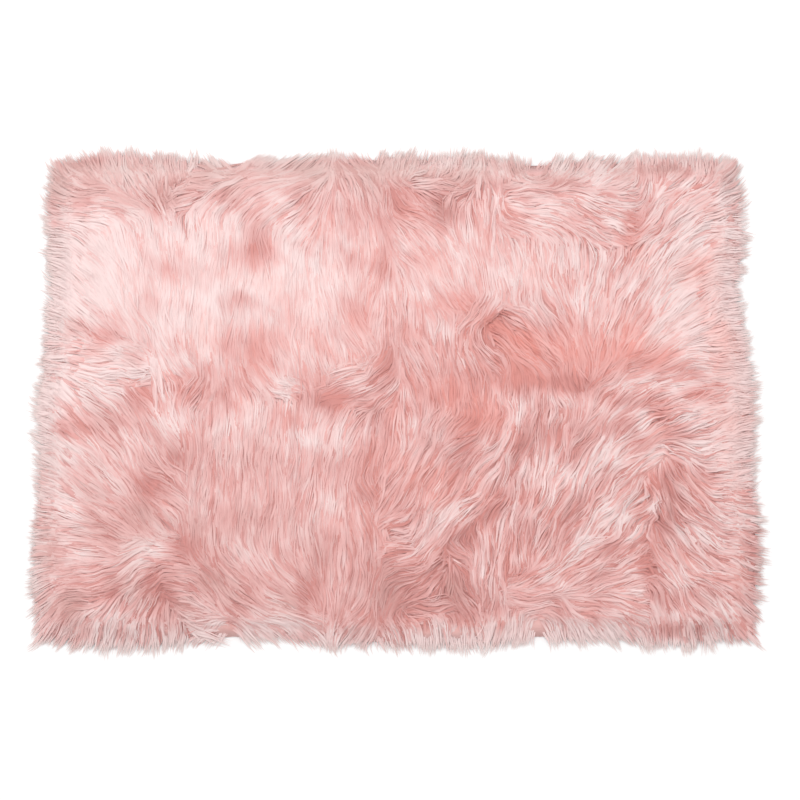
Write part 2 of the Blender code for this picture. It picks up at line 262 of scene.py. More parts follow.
BROAD_SHADES = read_table(Shade, (
    (-385, 165, 85, 85, 0.95, -0.1), (-420, 30, 45, 35, 0.8, 0.0), (-240, 225, 70, 28, 0.8, 0.0),
    (-260, 125, 55, 55, 0.75, 0.0), (-130, 170, 85, 60, 0.65, 0.0), (-285, 65, 40, 40, 0.45, 0.0),
    (20, 190, 80, 45, 0.4, 0.1), (170, 190, 100, 55, 0.42, 0.0), (360, 110, 60, 50, 0.9, 0.0),
    (400, 200, 50, 60, 0.4, 0.0), (-100, 80, 80, 50, 0.3, 0.1), (-350, 297, 90, 18, 0.4, 0.0),
    (-160, 270, 30, 40, 0.5, 0.0), (160, 250, 50, 40, 0.35, 0.0), (250, 290, 50, 30, 0.3, 0.0),
    (360, 240, 60, 40, 0.2, 0.0), (-190, -20, 30, 20, 0.5, 0.0), (-290, -25, 25, 20, 0.55, 0.0),
    (-100, -45, 60, 15, 0.55, 0.0), (-420, -65, 40, 30, 0.45, 0.0), (-430, -135, 40, 50, 0.3, 0.0),
    (330, 22, 60, 11, 0.6, 0.0), (220, 0, 80, 10, 0.5, 0.0), (400, -50, 60, 40, 0.55, 0.0),
    (180, -85, 50, 25, 0.45, 0.0), (280, -62, 50, 22, 0.4, 0.0), (275, -150, 30, 35, 0.5, 0.0),
    (60, -150, 30, 18, 0.35, -0.1), (120, -85, 30, 30, 0.25, 0.0), (-100, -140, 30, 20, 0.3, 0.0),
    (-340, -195, 25, 20, 0.45, 0.0), (-150, -260, 25, 30, 0.25, 0.0), (200, -230, 20, 20, 0.3, 0.0),
    (30, -60, 30, 20, 0.15, 0.0), (20, -130, 120, 70, -0.15, 0.25), (-200, -150, 120, 70, -0.12, 0.1),
    (0, -260, 250, 45, -0.22, 0.0), (380, -200, 60, 80, 0.05, -0.1), (-380, 300, 120, 40, -0.25, -0.4),
    (0, 310, 300, 35, -0.05, -0.4), (420, 60, 35, 35, 0.45, 0.0), (380, 190, 50, 30, 0.35, 0.0),
    (-455, -20, 25, 25, 0.5, 0.0), (-365, 50, 30, 25, 0.35, 0.0), (280, 265, 50, 25, 0.3, 0.0),
    (150, -300, 200, 15, 0.35, 0.0), (430, 90, 34, 120, 0.75, 0.4), (450, -170, 20, 110, 0.2, 0.4),
    (0, -292, 450, 14, 0.0, 0.25), (0, 300, 450, 35, -0.15, -0.15), (-250, -170, 250, 130, -0.05, -0.3),
    (100, -305, 400, 16, 0.45, 0.1), (110, -60, 160, 120, -0.15, 0.0), (200, 25, 70, 30, -0.15, 0.0),
    (-450, 200, 30, 100, 0.3, 0.0), (170, -295, 70, 16, 0.25, 0.0), (445, -30, 25, 60, 0.4, 0.2),
    (475, -230, 25, 80, -0.6, 0.0),
))
FAR_SHADES = read_table(Shade, (
    (-410, 270, 20, 18, -0.7, -0.1), (-300, 270, 35, 20, -0.5, -0.2), (-345, 262, 20, 12, -0.35, -0.2),
    (-210, 270, 18, 18, -0.35, -0.3), (-120, 255, 18, 28, -0.5, -0.3), (-180, 205, 18, 27, -1.25, 0.1),
    (-220, 200, 20, 18, -0.38, -0.2), (-285, 175, 30, 22, -0.75, 0.0), (-325, 130, 18, 20, -0.62, -0.1),
    (-380, 85, 35, 18, -1.0, 0.0), (-420, 100, 20, 15, -0.5, -0.2), (-355, 60, 20, 15, -0.4, -0.2),
    (-205, 135, 20, 14, -0.56, -0.1), (-200, 70, 30, 30, -0.81, 0.1), (-55, 115, 20, 30, -0.56, 0.2),
    (-20, 195, 20, 35, -0.56, -0.1), (-10, 260, 30, 35, -0.45, -0.1), (60, 255, 20, 27, -0.9, -0.1),
    (20, 240, 30, 18, -0.3, 0.1), (-30, 305, 50, 14, -0.3, -0.1), (75, 130, 35, 14, -0.5, 0.35),
    (125, 105, 22, 18, -0.9, 0.4), (165, 85, 20, 20, -0.5, 0.4), (-15, 50, 14, 30, -0.7, 0.1),
    (240, 70, 90, 30, -0.35, 0.55), (155, 30, 28, 15, -0.8, 0.3), (225, 27, 50, 10, -1.1, 0.1),
    (330, 55, 30, 15, -0.5, 0.3), (400, 15, 40, 12, -0.4, 0.0), (90, 20, 50, 35, -0.35, 0.35),
    (310, 110, 20, 30, -0.3, 0.3), (300, 225, 16, 30, -0.75, 0.2), (380, 180, 30, 20, -0.4, 0.3),
    (200, 290, 20, 15, -0.3, 0.0), (235, 240, 20, 12, -0.3, 0.0), (340, 310, 30, 12, -0.5, -0.2),
))
NEAR_SHADES = read_table(Shade, (
    (-400, -30, 45, 14, -0.75, -0.1), (-335, 2, 16, 28, -0.7, 0.0), (-265, 15, 42, 16, -0.65, 0.1),
    (-230, -10, 20, 10, -0.3, 0.0), (-255, -30, 12, 18, -0.3, -0.1), (-98, 6, 32, 14, -1.1, 0.1),
    (-20, -15, 20, 14, -0.5, 0.0), (-45, -85, 22, 30, -0.65, 0.1), (-40, -122, 15, 15, -0.4, 0.0),
    (100, -25, 30, 18, -0.6, 0.3), (72, -100, 13, 35, -0.4, -0.1), (220, -38, 60, 13, -0.7, -0.1),
    (160, -60, 14, 14, -0.3, -0.1), (340, -10, 12, 20, -0.5, 0.0), (355, -45, 14, 14, -0.6, -0.1),
    (-290, -75, 30, 15, -0.5, 0.0), (-320, -112, 18, 24, -0.95, 0.2), (-345, -145, 20, 14, -0.4, -0.1),
    (-278, -190, 22, 17, -1.0, 0.1), (-250, -235, 14, 14, -0.7, -0.1),
    (-310, -250, 30, 28, -0.85, -0.1), (-370, -245, 14, 14, -0.5, 0.0),
    (-425, -265, 20, 18, -0.9, -0.4), (-210, -255, 22, 20, -0.5, 0.0), (-120, -240, 18, 30, -0.65, 0.0),
    (-190, -150, 40, 20, -0.3, 0.0), (-70, -190, 30, 20, -0.3, 0.0), (-10, -230, 33, 33, -0.6, -0.1),
    (65, -240, 28, 33, -0.9, -0.2), (85, -180, 20, 13, -0.6, -0.1), (125, -142, 16, 14, -0.5, -0.1),
    (160, -170, 20, 15, -0.4, 0.0), (235, -135, 14, 24, -0.4, -0.1), (265, -102, 14, 12, -0.35, -0.1),
    (345, -100, 18, 18, -0.95, 0.1), (340, -160, 18, 18, -0.8, 0.0), (360, -130, 12, 12, -0.4, -0.1),
    (322, -210, 15, 24, -1.0, 0.1), (335, -245, 13, 14, -0.4, 0.0), (250, -230, 20, 12, -0.45, 0.0),
    (215, -275, 30, 13, -0.4, 0.0), (140, -275, 20, 13, -0.3, 0.0), (360, -300, 40, 12, -0.6, -0.3),
    (-40, -300, 50, 12, -0.4, -0.1), (390, -95, 30, 11, -0.45, -0.1),
))
SHADES = tuple(placed(shade) for shade in BROAD_SHADES + FAR_SHADES + NEAR_SHADES)


class Fold(NamedTuple):
    """A crest or a valley of the pile, painted paler on the crest as painted highlight and deeper in the
    valley as painted shade: its middle, its line's angle in degrees, its size.
    """
    x: float
    y: float
    angle: float
    along: float
    across: float
    pale: float


FOLD_TABLE = read_table(Fold, (
    (-415, 322, 0, 28, 14, -0.8), (-450, 287, 90, 28, 12, -0.7), (-345, 282, -30, 20, 11, 0.45),
    (-385, 232, -40, 28, 16, 0.6), (-298, 262, 25, 22, 11, -0.4), (-255, 302, 0, 14, 14, -0.35),
    (-265, 184, -15, 22, 13, 0.6), (-185, 230, 60, 30, 18, -0.45), (-165, 282, 0, 16, 10, -0.3),
    (-138, 242, 85, 22, 10, 0.35), (-88, 268, 0, 18, 13, 0.3), (-50, 317, 0, 30, 11, -0.6),
    (-135, 320, 0, 14, 10, -0.4), (-60, 182, 0, 15, 17, -0.6), (-56, 236, 70, 20, 12, -0.3),
    (-30, 208, 90, 14, 10, 0.4), (10, 183, 10, 30, 14, -0.4), (-170, 155, 5, 42, 13, 0.45),
    (-80, 157, 0, 14, 14, 0.4), (25, 138, -20, 22, 12, 0.45), (-242, 158, 60, 16, 10, -0.3),
    (-202, 75, 85, 30, 10, 0.45), (-290, 77, -30, 18, 13, -0.45), (-262, 37, 10, 22, 10, -0.55),
    (-248, 66, 90, 12, 10, 0.3), (-447, 112, 80, 26, 13, 0.5), (-460, 50, 90, 20, 10, 0.5),
    (-408, 80, 20, 17, 13, 0.45), (-370, 64, 25, 20, 11, 0.5), (-342, 31, 30, 24, 10, 0.65),
    (-405, 20, 0, 35, 10, 0.35), (-303, 11, 0, 14, 10, 0.6), (-146, 10, -60, 24, 13, 0.8),
    (-85, 2, 0, 28, 10, -0.45), (6, 80, 70, 38, 11, -0.3), (-22, 27, 30, 18, 10, -0.35),
    (-463, -25, 90, 38, 12, 0.9), (-430, -25, 0, 14, 14, -0.4), (-425, -64, 0, 16, 8, 0.35),
    (-408, -88, -15, 24, 11, -0.35), (-340, -45, -50, 26, 10, 0.35), (-280, -70, 5, 32, 14, -0.4),
    (-190, -68, 20, 20, 15, -0.35), (-226, -33, 0, 14, 12, 0.6), (-170, -20, 90, 14, 10, -0.35),
    (-425, -130, -80, 18, 11, 0.5), (-380, -170, -60, 36, 17, -0.6), (-332, -150, 75, 32, 14, -0.5),
    (-446, -198, -80, 26, 14, -0.5), (-408, -196, 20, 22, 9, 0.45), (-318, -195, 50, 32, 12, 0.45),
    (-340, -230, 90, 12, 10, 0.35), (-370, -238, 20, 20, 11, -0.5), (-473, -225, 90, 18, 10, 0.6),
    (-425, -268, 0, 16, 14, -0.55), (-283, -240, -10, 20, 10, 0.35), (-262, -185, 75, 30, 14, -0.4),
    (-235, -228, 0, 22, 15, -0.5), (-187, -240, 0, 12, 10, -0.35), (-178, -205, 0, 20, 20, 0.25),
    (-368, -280, 35, 22, 11, 0.4), (-322, -302, 80, 16, 11, 0.35), (-432, -316, 30, 16, 9, -0.6),
    (-378, -325, 0, 26, 9, 0.8), (-235, -288, 0, 12, 8, 0.35), (-135, -255, 20, 22, 15, -0.4),
    (-130, -314, -20, 15, 10, -0.5), (-140, -289, 0, 36, 9, 0.35), (-83, -130, 70, 18, 10, 0.4),
    (-42, -145, 80, 24, 9, 0.35), (-5, -132, 75, 24, 14, -0.3), (-5, -270, 50, 34, 22, -0.7),
    (-75, -275, 20, 24, 15, -0.35), (-30, -225, -20, 18, 12, -0.35), (-18, -43, 85, 15, 10, -0.35),
    (12, -26, 0, 12, 10, 0.45), (56, 317, 20, 16, 9, 0.5), (98, 318, 0, 18, 8, 0.35),
    (77, 290, 20, 18, 11, -0.7), (58, 248, 88, 26, 10, -0.45), (88, 265, 10, 13, 8, 0.35),
    (135, 287, 0, 14, 10, -0.45), (147, 261, -40, 14, 9, 0.45), (140, 233, -20, 26, 14, -0.65),
    (173, 315, 0, 14, 10, -0.7), (210, 316, 0, 14, 9, 0.55), (262, 315, -20, 13, 10, 0.6),
    (200, 290, -10, 22, 10, -0.4), (236, 262, -20, 18, 8, 0.45), (235, 241, -10, 13, 7, -0.35),
    (275, 277, 30, 18, 11, -0.3), (282, 236, 70, 18, 10, 0.5), (318, 250, 60, 26, 11, -0.4),
    (342, 310, 0, 30, 8, -0.7), (365, 284, 0, 52, 9, 0.4), (407, 248, 10, 15, 13, 0.5),
    (362, 176, 0, 42, 11, 0.6), (238, 142, 80, 22, 13, 0.65), (204, 139, 80, 13, 9, -0.4),
    (145, 156, 20, 17, 13, 0.5), (113, 184, -60, 15, 10, -0.3), (270, 92, 80, 19, 13, 0.6),
    (322, 107, 20, 19, 10, -0.3), (350, 106, 50, 17, 9, 0.45), (398, 85, 30, 30, 14, 0.6),
    (420, 62, 90, 16, 11, 0.35), (428, 135, 80, 24, 14, 0.4), (453, 45, -60, 17, 12, 0.9),
    (446, -10, 90, 26, 12, 0.9), (378, 38, 15, 25, 9, -0.35), (425, 21, 20, 20, 9, -0.3),
    (290, 2, 0, 27, 10, -0.68), (222, 18, -25, 28, 9, -0.68), (48, 4, 20, 22, 13, -0.5),
    (145, 55, -20, 28, 15, -0.3), (102, 80, -60, 14, 9, -0.3), (47, 85, 0, 12, 12, 0.4),
    (190, -4, 0, 12, 9, -0.47), (148, -25, 65, 24, 9, 0.68), (158, -58, 65, 32, 10, -0.81),
    (125, -132, 55, 34, 10, -0.68), (84, -172, 40, 22, 10, -0.61), (73, -143, 15, 24, 10, 0.94),
    (92, -60, 80, 26, 15, -0.61), (35, -65, 0, 18, 14, -0.4), (240, -62, 30, 21, 10, -0.68),
    (272, -64, 50, 22, 10, 0.68), (228, -103, 25, 24, 10, 0.61), (294, -30, -45, 13, 8, -0.68),
    (312, -58, 10, 18, 11, -0.68), (318, -25, 90, 13, 7, 0.81), (333, -75, 50, 26, 9, 0.88),
    (368, -43, 10, 19, 9, -0.47), (375, -16, 15, 20, 8, 0.5), (441, -60, 90, 30, 11, 0.7),
    (330, -135, 70, 15, 9, 0.81), (352, -145, 75, 30, 12, -0.68), (385, -125, -30, 18, 10, -0.35),
    (218, -150, 60, 27, 16, -0.68), (272, -155, 0, 12, 10, 0.68), (232, -185, 65, 32, 10, 0.54),
    (307, -176, -70, 17, 9, 0.61), (273, -191, 35, 20, 13, -0.74), (164, -165, 80, 15, 11, -0.47),
    (160, -222, 25, 28, 12, -0.5), (70, -242, 80, 20, 13, -0.6), (93, -282, -10, 19, 13, -0.9),
    (95, -314, 0, 50, 10, 0.7), (181, -311, 0, 12, 9, -0.7), (224, -311, 0, 22, 10, 0.9),
    (281, -305, 0, 12, 12, 0.8), (312, -243, 70, 15, 10, 0.6), (366, -258, 0, 15, 12, -0.8),
    (402, -255, -10, 22, 10, -0.35), (355, -298, 0, 19, 9, -0.7), (375, -319, 0, 50, 9, 0.5),
    (400, -176, -15, 38, 10, 0.4), (415, -202, -15, 36, 10, -0.4), (385, -220, -25, 30, 10, 0.35),
    (412, -125, 0, 14, 10, 0.35),
))
FOLDS = tuple(placed(fold) for fold in FOLD_TABLE)


class Loose(NamedTuple):
    """A patch where the pile falls in looser, wavier locks, or below 0 is brushed smoother."""
    x: float
    y: float
    wide: float
    high: float
    amount: float


LOOSE_PATCHES = read_table(Loose, (
    (-270, 170, 200, 80, -0.45), (-100, 80, 120, 80, -0.15), (50, 200, 120, 50, -0.2),
    (180, -120, 170, 120, 0.45), (380, -160, 80, 140, 0.4), (130, 90, 60, 50, 0.45),
    (-300, 280, 50, 30, 0.45), (-300, -250, 80, 50, 0.4), (40, -230, 80, 60, 0.35),
    (300, 230, 100, 60, 0.35), (-370, 30, 70, 30, 0.3), (-150, -140, 100, 80, -0.1),
    (70, 280, 80, 30, 0.3), (0, 50, 60, 50, 0.2),
))
PATCHES = tuple(placed(patch) for patch in LOOSE_PATCHES)


# ---------------------------------------------------------------------------
# The slab as a field, the comb's lines, and smooth chance
# ---------------------------------------------------------------------------

class Bed(NamedTuple):
    """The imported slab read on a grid: its heights and the line of its four edges."""
    xs: np.ndarray
    ys: np.ndarray
    heights: np.ndarray
    left: np.ndarray
    right: np.ndarray
    bottom: np.ndarray
    top: np.ndarray


class Ripple(NamedTuple):
    """Smooth chance over the rug: the pitch of its features, and the seed that it is drawn from."""
    pitch: float
    seed: int


BROAD_SPOTS = Ripple(0.030, 21)
SMALL_SPOTS = Ripple(0.014, 22)
WARM_SPOTS = Ripple(0.050, 23)
TUFTS = Ripple(0.012, 24)
LONG_BENDS = Ripple(0.05, 31)
SHORT_BENDS = Ripple(0.030, 33)
HEIGHT_WAVES = Ripple(0.016, 41)


def eased(line, missing):
    """An edge line with its gaps filled and its small steps smoothed away."""
    known = np.flatnonzero(~missing)
    filled = np.interp(np.arange(len(line)), known, line[known])
    padded = np.pad(filled, EDGE_EASE // 2, mode="edge")
    return np.convolve(padded, np.ones(EDGE_EASE) / EDGE_EASE, mode="valid")


def read_bed():
    """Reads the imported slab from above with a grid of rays; folds raise or lower its heights."""
    low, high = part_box(SLAB)
    xs = np.arange(low.x, high.x + READ_STEP, READ_STEP)
    ys = np.arange(low.y, high.y + READ_STEP, READ_STEP)
    tree = BVHTree.FromObject(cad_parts[SLAB], bpy.context.evaluated_depsgraph_get())
    heights = np.zeros((len(xs), len(ys)))
    down = Vector((0.0, 0.0, -1.0))
    for i, x in enumerate(xs):
        for j, y in enumerate(ys):
            hit = tree.ray_cast(Vector((x, y, high.z + 1.0)), down)[0]
            heights[i, j] = hit.z if hit else 0.0
    solid = heights > EDGE_LEVEL
    no_row = solid.sum(axis=0) < WHOLE_LINE * solid.sum(axis=0).max()
    no_column = solid.sum(axis=1) < WHOLE_LINE * solid.sum(axis=1).max()
    across, up = np.meshgrid(xs, ys, indexing="ij")
    return Bed(
        xs, ys, heights * (1 + FOLD_RISE * folds_at(across, up)),
        eased(xs[solid.argmax(axis=0)], no_row),
        eased(xs[::-1][solid[::-1].argmax(axis=0)], no_row),
        eased(ys[solid.argmax(axis=1)], no_column),
        eased(ys[::-1][solid[:, ::-1].argmax(axis=1)], no_column),
    )


def inside_by(bed, x, y):
    """How far a place is in from the bed's edge; negative outside it."""
    across = np.minimum(x - np.interp(y, bed.ys, bed.left), np.interp(y, bed.ys, bed.right) - x)
    up = np.minimum(y - np.interp(x, bed.xs, bed.bottom), np.interp(x, bed.xs, bed.top) - y)
    return np.minimum(across, up)


def near_edge(inside, depth):
    """1 at the rug's edge and past it, falling smoothly to 0 over the given depth inside it."""
    return np.exp(-(np.maximum(inside, 0) / depth) ** 2)


def near_patch(x, y, patch):
    """1 in the middle of a patch, falling smoothly to 0 around it."""
    return np.exp(-((x - patch.x) / patch.wide) ** 2 - ((y - patch.y) / patch.high) ** 2)


def pile_top(bed, x, y):
    """Height of the pile's surface: the slab's, eased down to the floor past its edge."""
    u = np.clip((x - bed.xs[0]) / READ_STEP, 0, len(bed.xs) - 1.001)
    v = np.clip((y - bed.ys[0]) / READ_STEP, 0, len(bed.ys) - 1.001)
    i, j = u.astype(int), v.astype(int)
    u, v = u - i, v - j
    near_side = bed.heights[i, j] * (1 - u) + bed.heights[i + 1, j] * u
    far_side = bed.heights[i, j + 1] * (1 - u) + bed.heights[i + 1, j + 1] * u
    inside = inside_by(bed, x, y)
    past_edge = EDGE_LEVEL * np.clip(1 + inside / RIM_REACH, 0.1, 1)
    share = np.clip(inside / EDGE_BLEND, 0, 1)
    return (near_side * (1 - v) + far_side * v) * share + past_edge * (1 - share)


def way_out(bed, x, y):
    """Unit vector straight out past the nearest edge, fanned round the corners; zero further in."""
    inner_x = np.clip(x, bed.left.mean() + CORNER_FAN, bed.right.mean() - CORNER_FAN)
    inner_y = np.clip(y, bed.bottom.mean() + CORNER_FAN, bed.top.mean() - CORNER_FAN)
    way = np.stack([x - inner_x, y - inner_y], axis=-1)
    return way / np.maximum(np.linalg.norm(way, axis=-1, keepdims=True), 1e-6)


def comb_at(x, y):
    """Unit vector along the pile's lines, and a vector to the side where most tips point."""
    across = np.full(x.shape, 1e-9)
    up = np.zeros(x.shape)
    tips = np.zeros((*x.shape, 2))
    for comb in COMBS:
        weight = np.exp(-((x - comb.x) ** 2 + (y - comb.y) ** 2) / comb.reach ** 2) + 1e-7
        heading = math.radians(comb.heading)
        across += weight * math.cos(2 * heading)
        up += weight * math.sin(2 * heading)
        tips += weight[..., None] * np.array([math.cos(heading), math.sin(heading)])
    slope = np.arctan2(up, across) / 2
    return np.stack([np.cos(slope), np.sin(slope)], axis=-1), tips


def wander(x, y, ripple):
    """Smooth chance over the rug, about -1 to 1, as a sum of ten waves."""
    chance = np.random.default_rng(ripple.seed)
    total = np.zeros(x.shape)
    for _ in range(10):
        angle, phase = chance.uniform(0, 2 * math.pi, 2)
        wave = 2 * math.pi / (ripple.pitch * chance.uniform(0.8, 2.2))
        total += np.sin(wave * (x * math.cos(angle) + y * math.sin(angle)) + phase)
    return total / 3.5


def shade_at(x, y):
    """How pale and how warm the pile looks at many places, about -1 to 1, with painted shade and painted
    highlight in it: paler crests, deeper valleys, a paler and greyer rim, and the tables' patches.
    """
    inside = inside_by(BED, x, y)
    pale = 0.20 * wander(x, y, BROAD_SPOTS) + 0.15 * wander(x, y, SMALL_SPOTS) + BASE_PALE
    pale += RIM_LIGHT * near_edge(inside, 0.030)
    warm = 0.12 * wander(x, y, WARM_SPOTS) - RIM_SHADE * near_edge(inside, 0.018)
    for shade in SHADES:
        near = near_patch(x, y, shade)
        pale = pale + SHADE_GAIN * shade.pale * near
        warm = warm + shade.warm * near
    return pale + FOLD_SHADE_GAIN * folds_at(x, y), warm


def folds_at(x, y):
    """How much the crests and valleys raise the pile at many places, about -1 to 1."""
    total = np.zeros(x.shape)
    for fold in FOLDS:
        c, s = math.cos(math.radians(fold.angle)), math.sin(math.radians(fold.angle))
        along = (x - fold.x) * c + (y - fold.y) * s
        across = (y - fold.y) * c - (x - fold.x) * s
        total += fold.pale * np.exp(-(along / fold.along) ** 2 - (across / fold.across) ** 2)
    return total


def looseness(x, y):
    """How loose the pile is at many places: 0 is brushed smooth, 1 falls in wavy locks."""
    loose = np.full(x.shape, BASE_LOOSE)
    for patch in PATCHES:
        loose = loose + patch.amount * near_patch(x, y, patch)
    return np.clip(loose, 0.05, 1.2)


def dense_share(x, y):
    """Height of the dense pile, as a share of the long pile's: lower where loose, higher at the edge."""
    at_edge = near_edge(inside_by(BED, x, y), 0.020)
    return DENSE_SHARE - DENSE_FALL * looseness(x, y) + DENSE_RISE * at_edge


def turned(vectors, angle):
    """Plane vectors turned by angles, in radians."""
    c, s = np.cos(angle), np.sin(angle)
    return np.stack([vectors[..., 0] * c - vectors[..., 1] * s,
                     vectors[..., 0] * s + vectors[..., 1] * c], axis=-1)


def unit(vectors):
    """Vectors of length one."""
    return vectors / np.maximum(np.linalg.norm(vectors, axis=-1, keepdims=True), 1e-9)


BED = read_bed()


# ---------------------------------------------------------------------------
# Locks: the paths that bunches of strands follow
# ---------------------------------------------------------------------------

class Locks(NamedTuple):
    """Bunches of pile: their paths on the plan, and chance values for each."""
    plan: np.ndarray        # lock, knot, x and y
    heading: np.ndarray     # lock, knot, x and y
    tone: np.ndarray
    rank: np.ndarray        # 0 lies low, 1 lies on top
    curl: np.ndarray
    loose: np.ndarray


class Lay(NamedTuple):
    """How locks lie: their reach, how much it varies, and how they turn out at the edge."""
    reach: float
    uneven: float
    knots: int
    outward: float          # least share of the way straight out
    edge_pull: float        # that share right at the edge
    past: float             # the most that a tip lies past the edge
    turn: float             # how far locks turn off the comb's lines, in radians


# Straight along the comb's lines, in two steps.
SET_BACK = Lay(reach=0.0, uneven=0.0, knots=3, outward=0.0, edge_pull=0.0, past=0.0, turn=0.0)


def root_places(bed, pitch, inset, depth, chance):
    """Uneven rows of root places, from the given inset to the given depth inside the edge."""
    low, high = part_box(SLAB)
    columns = np.arange(low.x, high.x, pitch)
    rows = np.arange(low.y, high.y, pitch * math.sqrt(3) / 2)
    x, y = np.meshgrid(columns, rows)
    x = x + np.where(np.arange(len(rows)) % 2, pitch / 2, 0)[:, None]
    x = (x + chance.uniform(-ROOT_SCATTER, ROOT_SCATTER, x.shape) * pitch).ravel()
    y = (y + chance.uniform(-ROOT_SCATTER, ROOT_SCATTER, y.shape) * pitch).ravel()
    inside = inside_by(bed, x, y)
    kept = (inside > inset) & (inside < depth)
    return np.stack([x[kept], y[kept]], axis=-1)


def first_way(bed, roots, chance):
    """The way that tips point from each root: the comb's, and mostly outward close to the edge."""
    x, y = roots[:, 0], roots[:, 1]
    tips = unit(comb_at(x, y)[1])
    depth = chance.uniform(*TURN_OUT, len(roots))
    edge = near_edge(inside_by(bed, x, y), depth)[:, None]
    return tips * (1 - edge) + way_out(bed, x, y) * OUT_WEIGHT * edge


def next_way(bed, place, way, turn, lay):
    """Unit vectors on along the comb's lines from each place, pulled outward close to the edge."""
    x, y = place[:, 0], place[:, 1]
    line = comb_at(x, y)[0]
    line = line * np.where((line * way).sum(axis=1) < 0, -1, 1)[:, None]
    waves = 0.10 * wander(x, y, LONG_BENDS) + 0.30 * looseness(x, y) * wander(x, y, SHORT_BENDS)
    line = turned(line, turn + waves)
    pull = lay.edge_pull * near_edge(inside_by(bed, x, y), PULL_DEPTH)
    pull = np.maximum(pull, lay.outward)[:, None]
    return unit(line * (1 - pull) + way_out(bed, x, y) * pull)


def trace(bed, place, way, length, turns, lay):
    """Follows the comb's lines from each place: the places and headings at every knot."""
    aside, bend = turns
    shares = np.linspace(0, 1, lay.knots) ** 1.1
    plan, headings = [], []
    for knot, share in enumerate(shares):
        way = next_way(bed, place, way, aside + bend * (share - LEVEL_TURN), lay)
        plan.append(place)
        headings.append(way)
        if knot + 1 < lay.knots:
            place = place + way * (length * (shares[knot + 1] - share))[:, None]
    return np.stack(plan, axis=1), np.stack(headings, axis=1)


def set_back(bed, places, way, back):
    """Where locks are rooted: a little way back along their lines, but inside the edge."""
    still = np.zeros(len(places))
    plan, headings = trace(bed, places, -way, back, (still, still), SET_BACK)
    inside = (inside_by(bed, plan[:, -1, 0], plan[:, -1, 1]) > ROOT_DEPTH)[:, None]
    return np.where(inside, plan[:, -1], places), np.where(inside, -headings[:, -1], way)


def comb_locks(bed, places, lay, chance):
    """Lays one lock over each place, shortened where it would reach too far past the edge."""
    count = len(places)
    length = lay.reach * chance.uniform(1 - lay.uneven, 1 + lay.uneven, count)
    turns = (chance.normal(0, lay.turn, count), chance.normal(0, 2 * lay.turn, count))
    roots, way = set_back(bed, places, first_way(bed, places, chance), length * BACK_SHARE)
    end = trace(bed, roots, way, length, turns, lay)[0][:, -1]
    start_depth = inside_by(bed, roots[:, 0], roots[:, 1])
    end_depth = inside_by(bed, end[:, 0], end[:, 1])
    furthest = -lay.past * (0.1 + 0.9 * chance.uniform(0, 1, count) ** 1.3)
    allowed = (start_depth - furthest) / np.maximum(start_depth - end_depth, 1e-4)
    length = length * np.where(end_depth < furthest, allowed, 1)
    plan, heading = trace(bed, roots, way, length, turns, lay)
    tuft = wander(places[:, 0], places[:, 1], TUFTS)
    tone = 0.6 * chance.normal(0, 1, count) + 1.5 * tuft
    rank = np.clip(0.6 * chance.uniform(0, 1, count) + 0.2 + 0.35 * tuft, 0, 1)
    return Locks(plan, heading, tone, rank, chance.normal(0, 1, count),
                 looseness(places[:, 0], places[:, 1]))


def some_of(locks, which):
    """Only the named locks."""
    return Locks(*(values[which] for values in locks))


class Growth(NamedTuple):
    """How strands grow from locks."""
    strands: int            # in each lock
    foot: float             # where strands leave the dense pile, as a share of its height
    spread: float           # half of a lock's breadth at its root
    gather: float           # share of that breadth that is gone at the tips
    width: float            # a strand's full width
    low: float              # share of the pile's height that the lowest strands reach
    high: float             # and the highest
    stray: float            # how far stray tips stand off
    sunk_shade: float             # how much deeper in colour the lowest strands are painted, as painted shade


class Strands(NamedTuple):
    """Centre lines of strands, with the way their ribbons face, and how pale they are."""
    centre: np.ndarray      # strand, knot, x, y and z
    aside: np.ndarray       # strand, knot, unit vector across the ribbon
    up: np.ndarray          # strand, knot, unit vector out of the ribbon
    half: np.ndarray        # half of each strand's width
    tone: np.ndarray


class Spread(NamedTuple):
    """Strands spread over their locks, before they rise from the rug."""
    flat: np.ndarray        # strand, knot, x and y
    across: np.ndarray      # place in the lock, -1 to 1 from side to side
    stray: np.ndarray       # how far the tip stands off
    level: np.ndarray       # 0 lies low, 1 lies on top


def spread_out(locks, growth, chance):
    """Spreads strands over their locks, wavy where the pile is loose and gathered towards the tips."""
    count, knots = locks.plan.shape[:2]
    share = np.linspace(0, 1, knots)[None]
    across = chance.uniform(-1, 1, count)
    stray = (chance.uniform(0, 1, count) < STRAY_SHARE) * chance.normal(0, 1, count) * growth.stray
    gather = growth.gather * (0.35 + 0.85 * locks.loose[:, None])
    sideways = across[:, None] * growth.spread * (1 - gather * share ** 1.2)
    wave = (0.0003 + 0.0013 * locks.loose * np.abs(locks.curl))[:, None]
    sideways += wave * np.sin(7.2 * share + 5 * locks.curl[:, None]) * share
    sideways += (chance.normal(0, 0.0008, count) + stray)[:, None] * share ** 2
    forward = (chance.uniform(-1, 1, count) * growth.spread)[:, None] * (1 - 0.3 * share)
    left = turned(locks.heading, np.full((count, knots), math.pi / 2))
    flat = locks.plan + left * sideways[..., None] + locks.heading * forward[..., None]
    level = 0.75 * locks.rank + 0.25 * chance.uniform(0, 1, count)
    return Spread(flat, across, stray, level)


